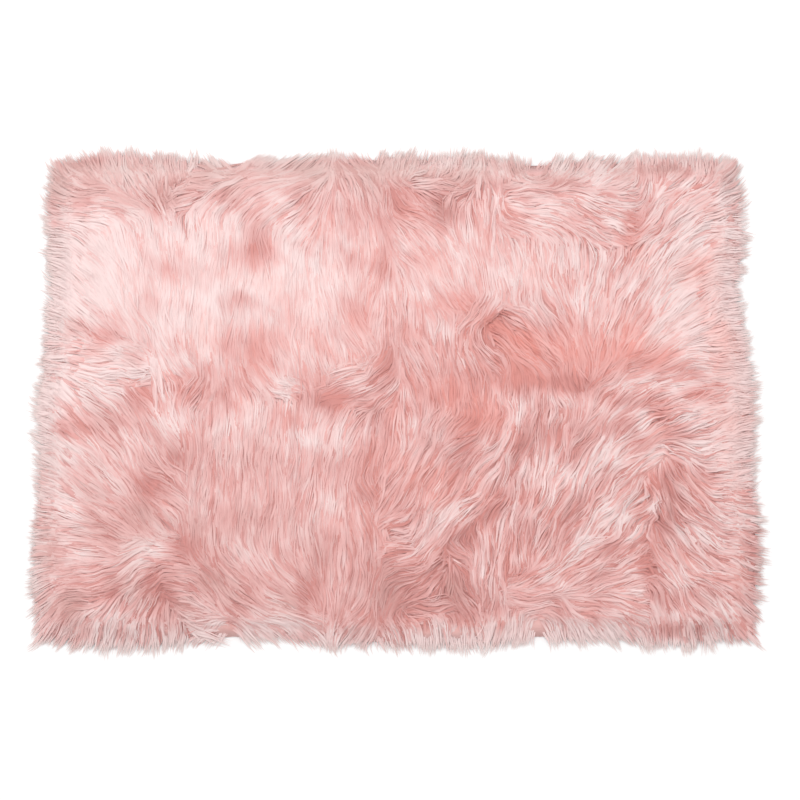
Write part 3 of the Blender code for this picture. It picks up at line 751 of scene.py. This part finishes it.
def rise_of(bed, spread, loose, growth):
    """Heights of every knot: up from the dense pile to the pile's surface, and bent down at the tip."""
    share = np.linspace(0, 1, spread.flat.shape[1])[None]
    range_up = (growth.high - growth.low) * (0.04 + 1.7 * loose)
    reached = growth.high - range_up * (1 - spread.level)
    x, y = spread.flat[..., 0], spread.flat[..., 1]
    full = pile_top(bed, x, y) * reached[:, None]
    foot = pile_top(bed, x[:, :1], y[:, :1]) * dense_share(x[:, :1], y[:, :1]) * growth.foot
    z = foot + (full - foot) * (1 - (1 - share) ** 2.6)
    z += 0.0022 * loose[:, None] * (0.5 - spread.across[:, None] ** 2) * np.sin(math.pi * share ** 0.8)
    z += 0.0012 * loose[:, None] * wander(x, y, HEIGHT_WAVES)
    z += 0.6 * np.abs(spread.stray)[:, None] * share ** 2 - TIP_FALL * share ** 5
    return np.maximum(z, LOWEST)


def grow(bed, locks, growth, chance):
    """Grows each lock's strands along its path."""
    locks = Locks(*(np.repeat(values, growth.strands, axis=0) for values in locks))
    spread = spread_out(locks, growth, chance)
    rise = rise_of(bed, spread, locks.loose, growth)
    centre = np.concatenate([spread.flat, rise[..., None]], axis=-1)

    count = len(centre)
    run = unit(np.gradient(centre, axis=1))
    right = unit(np.cross(run, np.array([0.0, 0.0, 1.0])))
    roll = (spread.across * 0.24 + chance.normal(0, 0.07, count)) * (0.15 + 1.2 * locks.loose)
    roll = roll[:, None, None]
    aside = right * np.cos(roll) + np.cross(right, run) * np.sin(roll)
    half = growth.width / 2 * chance.uniform(0.65, 1.3, count) * (1.25 - 0.35 * locks.loose)
    tone = (LOCK_TONE * locks.tone + chance.normal(0, STRAND_TONE, count)) * TONE_GAIN * locks.loose
    # Painted shade: strands that lie low are painted deeper.
    tone += growth.sunk_shade * (spread.level - 0.8) * (0.3 + 1.2 * locks.loose)
    return Strands(centre, aside, np.cross(aside, run), half, tone)


# ---------------------------------------------------------------------------
# Ribbons: strands as one joined mesh
# ---------------------------------------------------------------------------

class Ribbon(NamedTuple):
    """One unit ribbon with its tip drawn to a point."""
    across: np.ndarray      # -1 to 1 for each of its points
    knot: np.ndarray        # the knot on the strand that each point belongs to
    faces: list


def unit_ribbon(knots):
    """Makes the ribbon that every strand repeats."""
    strip = bmesh.new()
    bmesh.ops.create_grid(strip, x_segments=1, y_segments=knots - 1, size=0.5)
    tip = [vert for vert in strip.verts if vert.co.y > 0.5 - 1e-4]
    bmesh.ops.pointmerge(strip, verts=tip, merge_co=Vector((0.0, 0.5, 0.0)))
    strip.verts.index_update()
    places = np.array([vert.co[:2] for vert in strip.verts])
    faces = [[vert.index for vert in face.verts] for face in strip.faces]
    strip.free()
    knot = np.rint((places[:, 1] + 0.5) * (knots - 1)).astype(int)
    return Ribbon(np.sign(np.round(places[:, 0], 3)), knot, faces)


def ribbon_mesh(name, strands):
    """Repeats the unit ribbon along every strand, as one mesh shaded as if each were round."""
    count, knots = strands.centre.shape[:2]
    ribbon = unit_ribbon(knots)
    taper = np.interp(np.linspace(0, 1, knots), [0, 0.25, 0.6, 0.85, 1], [0.4, 1.0, 0.9, 0.5, 0.0])
    half = strands.half[:, None] * (taper[ribbon.knot] * ribbon.across)
    places = strands.centre[:, ribbon.knot] + strands.aside[:, ribbon.knot] * half[..., None]
    bulge = strands.aside[:, ribbon.knot] * 0.12 * ribbon.across[None, :, None]
    normals = unit(strands.up[:, ribbon.knot] + bulge)

    data = bpy.data.meshes.new(name)
    corners = np.concatenate(ribbon.faces)
    sizes = np.array([len(face) for face in ribbon.faces])
    number = np.arange(count)[:, None]
    starts = number * len(corners) + np.concatenate([[0], np.cumsum(sizes)[:-1]])
    data.vertices.add(count * len(ribbon.knot))
    data.vertices.foreach_set("co", places.ravel())
    data.loops.add(count * len(corners))
    data.loops.foreach_set("vertex_index", (number * len(ribbon.knot) + corners).ravel())
    data.polygons.add(count * len(sizes))
    data.polygons.foreach_set("loop_start", starts.ravel())
    data.update(calc_edges=True)
    data.shade_smooth()
    lay_maps(data, ribbon, corners, strands)
    lay_marks(data, ribbon, strands)
    data.normals_split_custom_set_from_vertices(normals.reshape(-1, 3))
    return data


def lay_maps(data, ribbon, corners, strands):
    """Two maps: fibres in millimetres along each strand, and for each strand a cell of its own."""
    count, knots = strands.centre.shape[:2]
    across = ribbon.across[corners]
    along = ribbon.knot[corners] / (knots - 1)
    number = np.arange(count)[:, None]
    run = np.linalg.norm(np.diff(strands.centre, axis=1), axis=-1).sum(axis=1)[:, None]
    fibre = np.stack([
        across * strands.half[:, None] * 1000 + number * 7.31 % 97,
        along * run * 1000 + number * 3.17 % 89,
    ], axis=-1)
    data.uv_layers.new(name="Fibre").data.foreach_set("uv", fibre.ravel())
    cells = math.ceil(math.sqrt(count))
    cell = np.stack([
        (number % cells + 0.5 + 0.36 * across) / cells,
        (number // cells + 0.1 + 0.8 * along) / cells,
    ], axis=-1)
    data.uv_layers.new(name="OFBake").data.foreach_set("uv", cell.ravel())


def lay_marks(data, ribbon, strands):
    """Numbers that the material reads: pale tips, roots and low-lying strands painted deeper and warmer
    as painted shade, and chance from strand to strand.
    """
    knots = strands.centre.shape[1]
    places = strands.centre[:, ribbon.knot]
    x, y = places[..., 0], places[..., 1]
    along = (ribbon.knot / (knots - 1))[None]
    root = np.exp(-(along / 0.30) ** 2)
    tone = strands.tone[:, None]
    deep = 1 - 0.8 * near_edge(inside_by(BED, x, y), 0.035)
    marked = np.minimum(0.30 + 1.5 * looseness(x, y), 1)
    # Painted shade: roots are painted deeper and warmer, less so near the rim, and deeper-toned strands,
    # among them those that lie low, warmer.
    tone_and_shade_pale = 0.15 * tone - 0.21 * np.maximum(-tone, 0) + 0.20 * (along ** 2 - root * deep) * marked
    shade_warm = 0.22 * root * deep + 0.30 * np.clip(-tone, 0, 0.7) * (0.3 + 0.7 * deep)
    mark_shades(data, x.ravel(), y.ravel(), tone_and_shade_pale.ravel(), shade_warm.ravel())


def mark_shades(data, x, y, tone_and_shade_pale, shade_warm):
    """Marks how pale and how warm each point is, painted shade and highlight included, and how far it
    has faded past the edge.
    """
    pale, warm = shade_at(x, y)
    mark(data, "pale", pale + tone_and_shade_pale)
    mark(data, "warm", warm + shade_warm)
    mark(data, "faded", np.clip(-inside_by(BED, x, y) / RIM_REACH, 0, 1))


def mark(data, name, values):
    """Writes one number for each point of a mesh."""
    layer = data.attributes.new(name=name, type="FLOAT", domain="POINT")
    layer.data.foreach_set("value", values.astype(np.float32))


def mesh_data(name, shape):
    """Turns a bmesh into mesh data, and frees it."""
    data = bpy.data.meshes.new(name)
    shape.to_mesh(data)
    shape.free()
    return data


def add_piece(name, data, material):
    """Links a finished piece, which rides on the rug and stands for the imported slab."""
    data.materials.append(material)
    piece = bpy.data.objects.new(name, data)
    bpy.context.scene.collection.objects.link(piece)
    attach(piece, "root")
    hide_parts(SLAB)
    return piece


# ---------------------------------------------------------------------------
# Materials
# ---------------------------------------------------------------------------

def new_material(name):
    """An empty node material with its shader: the material, its tree and the shader."""
    material = bpy.data.materials.new(name)
    material.use_nodes = True
    tree = material.node_tree
    return material, tree, tree.nodes["Principled BSDF"]


def number_of(tree, name):
    """Output that gives a mesh's own numbers."""
    node = tree.nodes.new("ShaderNodeAttribute")
    node.attribute_name = name
    return node.outputs["Fac"]


def mixed(tree, share, first, second):
    """Colour output between two colours, which are outputs or plain values."""
    node = tree.nodes.new("ShaderNodeMix")
    node.data_type = "RGBA"
    for socket, value in (("Factor_Float", share), ("A_Color", first), ("B_Color", second)):
        target = next(item for item in node.inputs if item.identifier == socket)
        if isinstance(value, bpy.types.NodeSocket):
            tree.links.new(value, target)
        else:
            target.default_value = value
    return next(item for item in node.outputs if item.identifier == "Result_Color")


def ranged(tree, value, given, wanted):
    """Output of a value moved from the given range to the wanted one, held inside it."""
    node = tree.nodes.new("ShaderNodeMapRange")
    tree.links.new(value, node.inputs["Value"])
    for name, number in zip(("From Min", "From Max", "To Min", "To Max"), (*given, *wanted)):
        node.inputs[name].default_value = number
    return node.outputs["Result"]


def brightened(tree, colour, share):
    """Colour output made brighter or darker by a share around 1."""
    node = tree.nodes.new("ShaderNodeHueSaturation")
    tree.links.new(colour, node.inputs["Color"])
    tree.links.new(share, node.inputs["Value"])
    return node.outputs["Color"]


def noise(tree, place, scale, detail=2.0):
    """Noise output at the places that an output gives."""
    node = tree.nodes.new("ShaderNodeTexNoise")
    node.inputs["Scale"].default_value = scale
    node.inputs["Detail"].default_value = detail
    tree.links.new(place, node.inputs["Vector"])
    return node.outputs["Fac"]


def fibre_streaks(tree, across, along):
    """Noise drawn out along each strand, from its fibre map."""
    place = tree.nodes.new("ShaderNodeUVMap")
    place.uv_map = "Fibre"
    scale = tree.nodes.new("ShaderNodeMapping")
    scale.inputs["Scale"].default_value = (across, along, 1.0)
    tree.links.new(place.outputs["UV"], scale.inputs["Vector"])
    return noise(tree, scale.outputs["Vector"], 1.0)


def add_bump(tree, shader, height, distance, strength=1.0):
    """Raises the surface's look by a height output."""
    node = tree.nodes.new("ShaderNodeBump")
    node.inputs["Strength"].default_value = strength
    node.inputs["Distance"].default_value = distance
    tree.links.new(height, node.inputs["Height"])
    tree.links.new(node.outputs["Normal"], shader.inputs["Normal"])


def colour_ramp(tree, value, stops):
    """Colour output that a value picks from named stops."""
    node = tree.nodes.new("ShaderNodeValToRGB")
    tree.links.new(value, node.inputs["Fac"])
    elements = node.color_ramp.elements
    while len(elements) < len(stops):
        elements.new(0.5)
    for element, (position, colour) in zip(elements, stops):
        element.position = position
        element.color = colour
    return node.outputs["Color"]


def opaque(colour):
    """A picked colour with full alpha."""
    return (*colour, 1.0)


def shaded(tree, look, speckle):
    """Colour output picked by how pale and how warm a place is, and by a noise output; those marks hold
    painted shade and highlight as well as the pile's own tone.
    """
    pale = tree.nodes.new("ShaderNodeMath")
    pale.operation = "ADD"
    tree.links.new(ranged(tree, number_of(tree, "pale"), (-1.6, 1.6), (-0.3, 1.3)), pale.inputs[0])
    tree.links.new(speckle, pale.inputs[1])
    colour = colour_ramp(tree, pale.outputs[0], (
        (0.0, opaque(look.deep_colour)),
        (0.5, opaque(look.body_colour)),
        (1.0, opaque(look.pale_colour)),
    ))
    warmer = ranged(tree, number_of(tree, "warm"), (0.0, 1.0), (0.0, 0.85))
    # Painted shade: greyer towards the rim colour along the rim and in the greyer patches.
    greyer_shade = ranged(tree, number_of(tree, "warm"), (-1.0, 0.0), (0.75, 0.0))
    faded = ranged(tree, number_of(tree, "faded"), (0.3, 1.0), (0.0, 0.85))
    colour = mixed(tree, warmer, colour, opaque(look.warm_colour))
    colour = mixed(tree, greyer_shade, colour, opaque(look.rim_shade_colour))
    return mixed(tree, faded, colour, opaque(look.tip_colour))


def pile_material(name, look, lift):
    """Silky dyed pile, streaked along each strand, and paler throughout by the given lift; the lift
    paints the low under pile a little deeper as painted shade and the wisps on top paler as painted
    highlight.
    """
    material, tree, shader = new_material(name)
    streaks = fibre_streaks(tree, 1.3, 0.035)
    colour = shaded(tree, look, ranged(tree, streaks, (0.25, 0.75), (lift - STREAK, lift + STREAK)))
    tree.links.new(colour, shader.inputs["Base Color"])
    tree.links.new(ranged(tree, streaks, (0.3, 0.7), (0.45, 0.62)), shader.inputs["Roughness"])
    add_bump(tree, shader, streaks, 0.0003, strength=0.25)
    shader.inputs["Specular IOR Level"].default_value = 0.15
    shader.inputs["Sheen Weight"].default_value = 0.10
    shader.inputs["Sheen Roughness"].default_value = 0.4
    shader.inputs["Sheen Tint"].default_value = (1.0, 0.86, 0.84, 1.0)
    return material


def dense_material(look):
    """Fine matted fibres between the strands, a little deeper in colour as painted shade in the gaps."""
    material, tree, shader = new_material("dense_fibre")
    place = tree.nodes.new("ShaderNodeTexCoord")
    fibres = noise(tree, place.outputs["Object"], 700.0, detail=3.0)
    colour = shaded(tree, look, ranged(tree, fibres, (0.3, 0.7), (-0.14, 0.04)))
    tree.links.new(colour, shader.inputs["Base Color"])
    tree.links.new(ranged(tree, fibres, (0.3, 0.7), (0.65, 0.85)), shader.inputs["Roughness"])
    add_bump(tree, shader, fibres, 0.0006, strength=0.4)
    shader.inputs["Sheen Weight"].default_value = 0.2
    return material


def knit_material(look):
    """Knitted ground: fine wales of loops, a little mottled."""
    material, tree, shader = new_material("knitted_ground")
    place = tree.nodes.new("ShaderNodeTexCoord").outputs["Object"]
    wales = tree.nodes.new("ShaderNodeTexWave")
    wales.inputs["Scale"].default_value = 320.0
    wales.inputs["Distortion"].default_value = 1.2
    wales.inputs["Detail"].default_value = 2.0
    tree.links.new(place, wales.inputs["Vector"])
    mottle = noise(tree, place, 60.0)
    colour = mixed(tree, mottle, opaque(look.deep_colour), opaque(look.body_colour))
    colour = brightened(tree, colour, ranged(tree, wales.outputs["Fac"], (0.0, 1.0), (0.88, 1.06)))
    tree.links.new(colour, shader.inputs["Base Color"])
    tree.links.new(ranged(tree, mottle, (0.3, 0.7), (0.78, 0.92)), shader.inputs["Roughness"])
    add_bump(tree, shader, wales.outputs["Fac"], 0.0004)
    return material


# ---------------------------------------------------------------------------
# Settings
# ---------------------------------------------------------------------------

def tint(name, default):
    """A colour setting."""
    return FloatVectorProperty(name=name, description=f"{name} of the pile", subtype="COLOR",
                               size=3, min=0.0, max=1.0, default=default)


def distance(name, default, description):
    """A length setting, in metres."""
    return FloatProperty(name=name, description=description, default=default, unit="LENGTH", precision=4)


class RugLook(bpy.types.PropertyGroup):
    """Colours of the pile, from root to tip and from patch to patch; the deep, warm and rim colours also
    paint shade into valleys, gaps, roots and the rim.
    """
    deep_colour: tint("Deep colour", (0.62, 0.27, 0.25))
    body_colour: tint("Body colour", (0.80, 0.455, 0.435))
    pale_colour: tint("Pale colour", (0.91, 0.71, 0.695))
    warm_colour: tint("Warm colour", (0.88, 0.35, 0.30))
    # Painted shade along the rim and in the greyer patches.
    rim_shade_colour: tint("Rim colour", (0.70, 0.53, 0.50))
    tip_colour: tint("Tip colour", (0.80, 0.71, 0.68))


class RugPile(bpy.types.PropertyGroup):
    """Sizes of the pile."""
    lock_pitch: distance("Lock spacing", 0.0073, "Distance between neighbouring locks")
    lock_reach: distance("Lock reach", 0.064, "How far a combed lock lies along the rug")
    strand_width: distance("Strand width", 0.0024, "Width of one wisp of fibres")
    wisp_pitch: distance("Wisp spacing", 0.0120, "Distance between bunches of fine wisps")
    wisp_width: distance("Wisp width", 0.0013, "Width of a fine wisp")
    under_pitch: distance("Under pile spacing", 0.0073, "Distance between tufts of the short pile")
    under_reach: distance("Under pile reach", 0.036, "How far the short pile leans")
    strands: IntProperty(name="Strands", description="Strands in each lock", default=4, min=1)
    layers: IntProperty(name="Layers", description="Pieces that the long pile is made in",
                        default=3, min=1)
    seed: IntProperty(name="Seed", description="Number that all chance starts from", default=12)


class RugStage(bpy.types.PropertyGroup):
    """Camera and light."""
    elevation: FloatProperty(name="Elevation", description="Camera's angle above the floor",
                             default=math.radians(80), subtype="ANGLE")
    camera_distance: distance("Distance", 2.26, "Camera's distance from the middle of the rug")
    lens: FloatProperty(name="Lens", description="Focal length in millimetres", default=80.3)
    key_power: FloatProperty(name="Key light", description="Power of the large soft lamp", default=42.0)
    fill: FloatProperty(name="Fill", description="Strength of the light from all round", default=0.79)


# ---------------------------------------------------------------------------
# Operators
# ---------------------------------------------------------------------------

def cloth_place(across, up, inset):
    """Where a point of the unit cloth lies on the floor, a little inside the slab's edge."""
    y = np.interp(up, [-1, 1], [BED.bottom.mean() + inset, BED.top.mean() - inset])
    left = np.interp(y, BED.ys, BED.left) + inset
    right = np.interp(y, BED.ys, BED.right) - inset
    x = np.interp(across, [-1, 1], [left, right])
    bottom = np.interp(x, BED.xs, BED.bottom) + inset
    top = np.interp(x, BED.xs, BED.top) - inset
    return Vector((x, np.interp(up, [-1, 1], [bottom, top]), 0.0))


def dense_shape():
    """The dense pile: its uneven top, its slope out to the floor, and its flat underside."""
    body = bmesh.new()
    bmesh.ops.create_grid(body, x_segments=DENSE_CELLS[0], y_segments=DENSE_CELLS[1], size=1.0)
    for vert in body.verts:
        vert.co = cloth_place(vert.co.x, vert.co.y, DENSE_INSET)
    x, y = np.array([vert.co[:2] for vert in body.verts]).T
    for vert, height in zip(body.verts, pile_top(BED, x, y) * dense_share(x, y)):
        vert.co.z = height
    rim = [edge for edge in body.edges if edge.is_boundary]
    skirt = bmesh.ops.extrude_edge_only(body, edges=rim)["geom"]
    for vert in (item for item in skirt if isinstance(item, bmesh.types.BMVert)):
        out = way_out(BED, vert.co.x, vert.co.y) * SKIRT
        vert.co = Vector((vert.co.x + out[0], vert.co.y + out[1], GROUND_THICKNESS))
    bmesh.ops.holes_fill(body, edges=[edge for edge in body.edges if edge.is_boundary], sides=0)
    bmesh.ops.recalc_face_normals(body, faces=body.faces)
    return body


def strands_over(places, lay, growth, chance):
    """Strands of the locks that are laid over some places."""
    return grow(BED, comb_locks(BED, places, lay, chance), growth, chance)


class RUG_OT_dense_pile(bpy.types.Operator):
    """Makes the dense short fibres that fill the rug between its strands"""
    bl_idname = "rug.dense_pile"
    bl_label = "Dense pile"

    def execute(self, context):
        data = mesh_data("dense_pile", dense_shape())
        data.shade_smooth()
        x, y = np.array([vert.co[:2] for vert in data.vertices]).T
        mark_shades(data, x, y, tone_and_shade_pale=0.0, shade_warm=DENSE_SHADE_WARM)
        add_piece("dense_pile", data, dense_material(context.scene.rug_look))
        return {"FINISHED"}


class RUG_OT_under_pile(bpy.types.Operator):
    """Grows the short dense pile that hides the ground"""
    bl_idname = "rug.under_pile"
    bl_label = "Under pile"

    def execute(self, context):
        sizes = context.scene.rug_pile
        chance = np.random.default_rng(sizes.seed)
        places = root_places(BED, sizes.under_pitch, 0.004, WHOLE_RUG, chance)
        lay = Lay(reach=sizes.under_reach, uneven=0.2, knots=4, outward=0.0, edge_pull=0.45,
                  past=0.012, turn=0.30)
        growth = Growth(strands=2, foot=1.01, spread=0.0040, gather=0.2, width=0.0036,
                        low=0.90, high=0.96, stray=0.0, sunk_shade=1.0)
        data = ribbon_mesh("under_pile", strands_over(places, lay, growth, chance))
        add_piece("under_pile", data, pile_material("under_fibre", context.scene.rug_look, lift=-0.02))
        return {"FINISHED"}


class RUG_OT_long_pile(bpy.types.Operator):
    """Grows the combed long pile, in layers from the lowest locks to the topmost"""
    bl_idname = "rug.long_pile"
    bl_label = "Long pile"

    def execute(self, context):
        sizes = context.scene.rug_pile
        chance = np.random.default_rng(sizes.seed + 1)
        places = root_places(BED, sizes.lock_pitch, 0.003, WHOLE_RUG, chance)
        lay = Lay(reach=sizes.lock_reach, uneven=0.2, knots=7, outward=0.0, edge_pull=0.40,
                  past=0.020, turn=0.06)
        growth = Growth(strands=sizes.strands, foot=1.02, spread=0.0044, gather=0.60,
                        width=sizes.strand_width, low=0.94, high=1.03, stray=0.003, sunk_shade=2.0)
        locks = comb_locks(BED, places, lay, chance)
        material = pile_material("long_fibre", context.scene.rug_look, lift=0.0)
        layers = np.array_split(np.argsort(locks.rank), sizes.layers)
        for number, which in enumerate(layers, start=1):
            strands = grow(BED, some_of(locks, which), growth, chance)
            name = f"long_pile_{number}"
            add_piece(name, ribbon_mesh(name, strands), material)
        return {"FINISHED"}


class RUG_OT_wisps(bpy.types.Operator):
    """Grows the fine wisps that lie on top of the long pile"""
    bl_idname = "rug.wisps"
    bl_label = "Wisps"

    def execute(self, context):
        sizes = context.scene.rug_pile
        chance = np.random.default_rng(sizes.seed + 3)
        places = root_places(BED, sizes.wisp_pitch, 0.003, WHOLE_RUG, chance)
        lay = Lay(reach=sizes.lock_reach * 0.9, uneven=0.3, knots=7, outward=0.0, edge_pull=0.45,
                  past=0.022, turn=0.08)
        growth = Growth(strands=4, foot=1.04, spread=0.0050, gather=0.60, width=sizes.wisp_width,
                        low=0.98, high=1.04, stray=0.004, sunk_shade=1.0)
        data = ribbon_mesh("wisp_pile", strands_over(places, lay, growth, chance))
        add_piece("wisp_pile", data, pile_material("wisp_fibre", context.scene.rug_look, lift=0.06))
        return {"FINISHED"}


class RUG_OT_rim_pile(bpy.types.Operator):
    """Grows the loose strands that fall over the edge to the floor"""
    bl_idname = "rug.rim_pile"
    bl_label = "Rim pile"

    def execute(self, context):
        sizes = context.scene.rug_pile
        chance = np.random.default_rng(sizes.seed + 2)
        places = root_places(BED, 0.0040, 0.001, 0.013, chance)
        lay = Lay(reach=0.044, uneven=0.3, knots=6, outward=0.20, edge_pull=0.40, past=0.031, turn=0.16)
        growth = Growth(strands=7, foot=0.58, spread=0.0050, gather=0.15,
                        width=sizes.wisp_width * 0.9, low=0.35, high=0.82, stray=0.004, sunk_shade=0.3)
        data = ribbon_mesh("rim_pile", strands_over(places, lay, growth, chance))
        add_piece("rim_pile", data, pile_material("rim_fibre", context.scene.rug_look, lift=0.12))
        return {"FINISHED"}


class RUG_OT_ground(bpy.types.Operator):
    """Lays the knitted ground that the pile grows from"""
    bl_idname = "rug.ground"
    bl_label = "Knitted ground"

    def execute(self, context):
        cloth = bmesh.new()
        bmesh.ops.create_grid(cloth, x_segments=GROUND_CELLS[0], y_segments=GROUND_CELLS[1], size=1.0)
        for vert in cloth.verts:
            vert.co = cloth_place(vert.co.x, vert.co.y, GROUND_INSET)
        bmesh.ops.solidify(cloth, geom=cloth.faces[:], thickness=GROUND_THICKNESS)
        bmesh.ops.recalc_face_normals(cloth, faces=cloth.faces)
        lowest = min(vert.co.z for vert in cloth.verts)
        bmesh.ops.translate(cloth, verts=cloth.verts, vec=Vector((0.0, 0.0, -lowest)))
        data = mesh_data("ground", cloth)
        data.shade_smooth()
        piece = add_piece("ground", data, knit_material(context.scene.rug_look))
        return {"FINISHED"}


class RUG_OT_stage(bpy.types.Operator):
    """Sets the pale floor, the soft light and the camera"""
    bl_idname = "rug.stage"
    bl_label = "Stage"

    def execute(self, context):
        stage = context.scene.rug_stage
        context.scene.view_settings.view_transform = "Standard"
        lay_floor()
        light_world(stage.fill)
        hang_lamp("key_lamp", KEY_PLACE, KEY_SIZE, stage.key_power)
        place_camera(stage)
        return {"FINISHED"}


def lay_floor():
    """A plain pale floor."""
    plane = bmesh.new()
    bmesh.ops.create_grid(plane, x_segments=1, y_segments=1, size=FLOOR_REACH)
    data = mesh_data("floor", plane)
    material, _, shader = new_material("pale_floor")
    shader.inputs["Base Color"].default_value = (0.98, 0.98, 0.98, 1.0)
    shader.inputs["Roughness"].default_value = 0.9
    shader.inputs["Specular IOR Level"].default_value = 0.1
    data.materials.append(material)
    floor = bpy.data.objects.new("floor", data)
    bpy.context.scene.collection.objects.link(floor)


def light_world(strength):
    """Even light from all round."""
    world = bpy.data.worlds.new("studio")
    world.use_nodes = True
    background = world.node_tree.nodes["Background"]
    background.inputs["Color"].default_value = (1.0, 1.0, 1.0, 1.0)
    background.inputs["Strength"].default_value = strength
    bpy.context.scene.world = world


def aimed(item, place, target):
    """Puts a lamp or camera at a place and turns it to a target."""
    item.location = place
    item.rotation_euler = (Vector(target) - Vector(place)).to_track_quat("-Z", "Y").to_euler()
    bpy.context.scene.collection.objects.link(item)


def hang_lamp(name, place, size, power):
    """A large soft square lamp over the rug."""
    lamp = bpy.data.lights.new(name, "AREA")
    lamp.size = size
    lamp.energy = power
    aimed(bpy.data.objects.new(name, lamp), place, (0.0, 0.0, 0.0))


def place_camera(stage):
    """The camera, in front of the rug and high above it."""
    lens = bpy.data.cameras.new("camera")
    lens.lens = stage.lens
    lens.sensor_width = SENSOR_WIDTH
    camera = bpy.data.objects.new("camera", lens)
    target = Vector(CAMERA_TARGET)
    away = Vector((0.0, -math.cos(stage.elevation), math.sin(stage.elevation)))
    aimed(camera, target + away * stage.camera_distance, target)
    bpy.context.scene.camera = camera


# ---------------------------------------------------------------------------
# Panel, registration and the run
# ---------------------------------------------------------------------------

OPERATORS = (RUG_OT_dense_pile, RUG_OT_under_pile, RUG_OT_long_pile, RUG_OT_wisps, RUG_OT_rim_pile,
             RUG_OT_ground, RUG_OT_stage)


class RUG_PT_panel(bpy.types.Panel):
    """The rug's sizes, colours and makers, in the 3D view's sidebar"""
    bl_idname = "RUG_PT_panel"
    bl_label = "Shag Rug"
    bl_space_type = "VIEW_3D"
    bl_region_type = "UI"
    bl_category = "Rug"

    def draw(self, context):
        for settings in (context.scene.rug_pile, context.scene.rug_look, context.scene.rug_stage):
            for name in settings.__annotations__:
                self.layout.prop(settings, name)
        for operator in OPERATORS:
            self.layout.operator(operator.bl_idname)


SETTINGS = (("rug_pile", RugPile), ("rug_look", RugLook), ("rug_stage", RugStage))


def register():
    for name, settings in SETTINGS:
        bpy.utils.register_class(settings)
        setattr(bpy.types.Scene, name, PointerProperty(type=settings))
    for item in (*OPERATORS, RUG_PT_panel):
        bpy.utils.register_class(item)


def unregister():
    for item in (RUG_PT_panel, *reversed(OPERATORS)):
        bpy.utils.unregister_class(item)
    for name, settings in reversed(SETTINGS):
        delattr(bpy.types.Scene, name)
        bpy.utils.unregister_class(settings)


def main():
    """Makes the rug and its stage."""
    register()
    bpy.ops.rug.dense_pile()
    bpy.ops.rug.under_pile()
    bpy.ops.rug.long_pile()
    bpy.ops.rug.wisps()
    bpy.ops.rug.rim_pile()
    bpy.ops.rug.ground()
    bpy.ops.rug.stage()


if __name__ == "__main__":
    main()
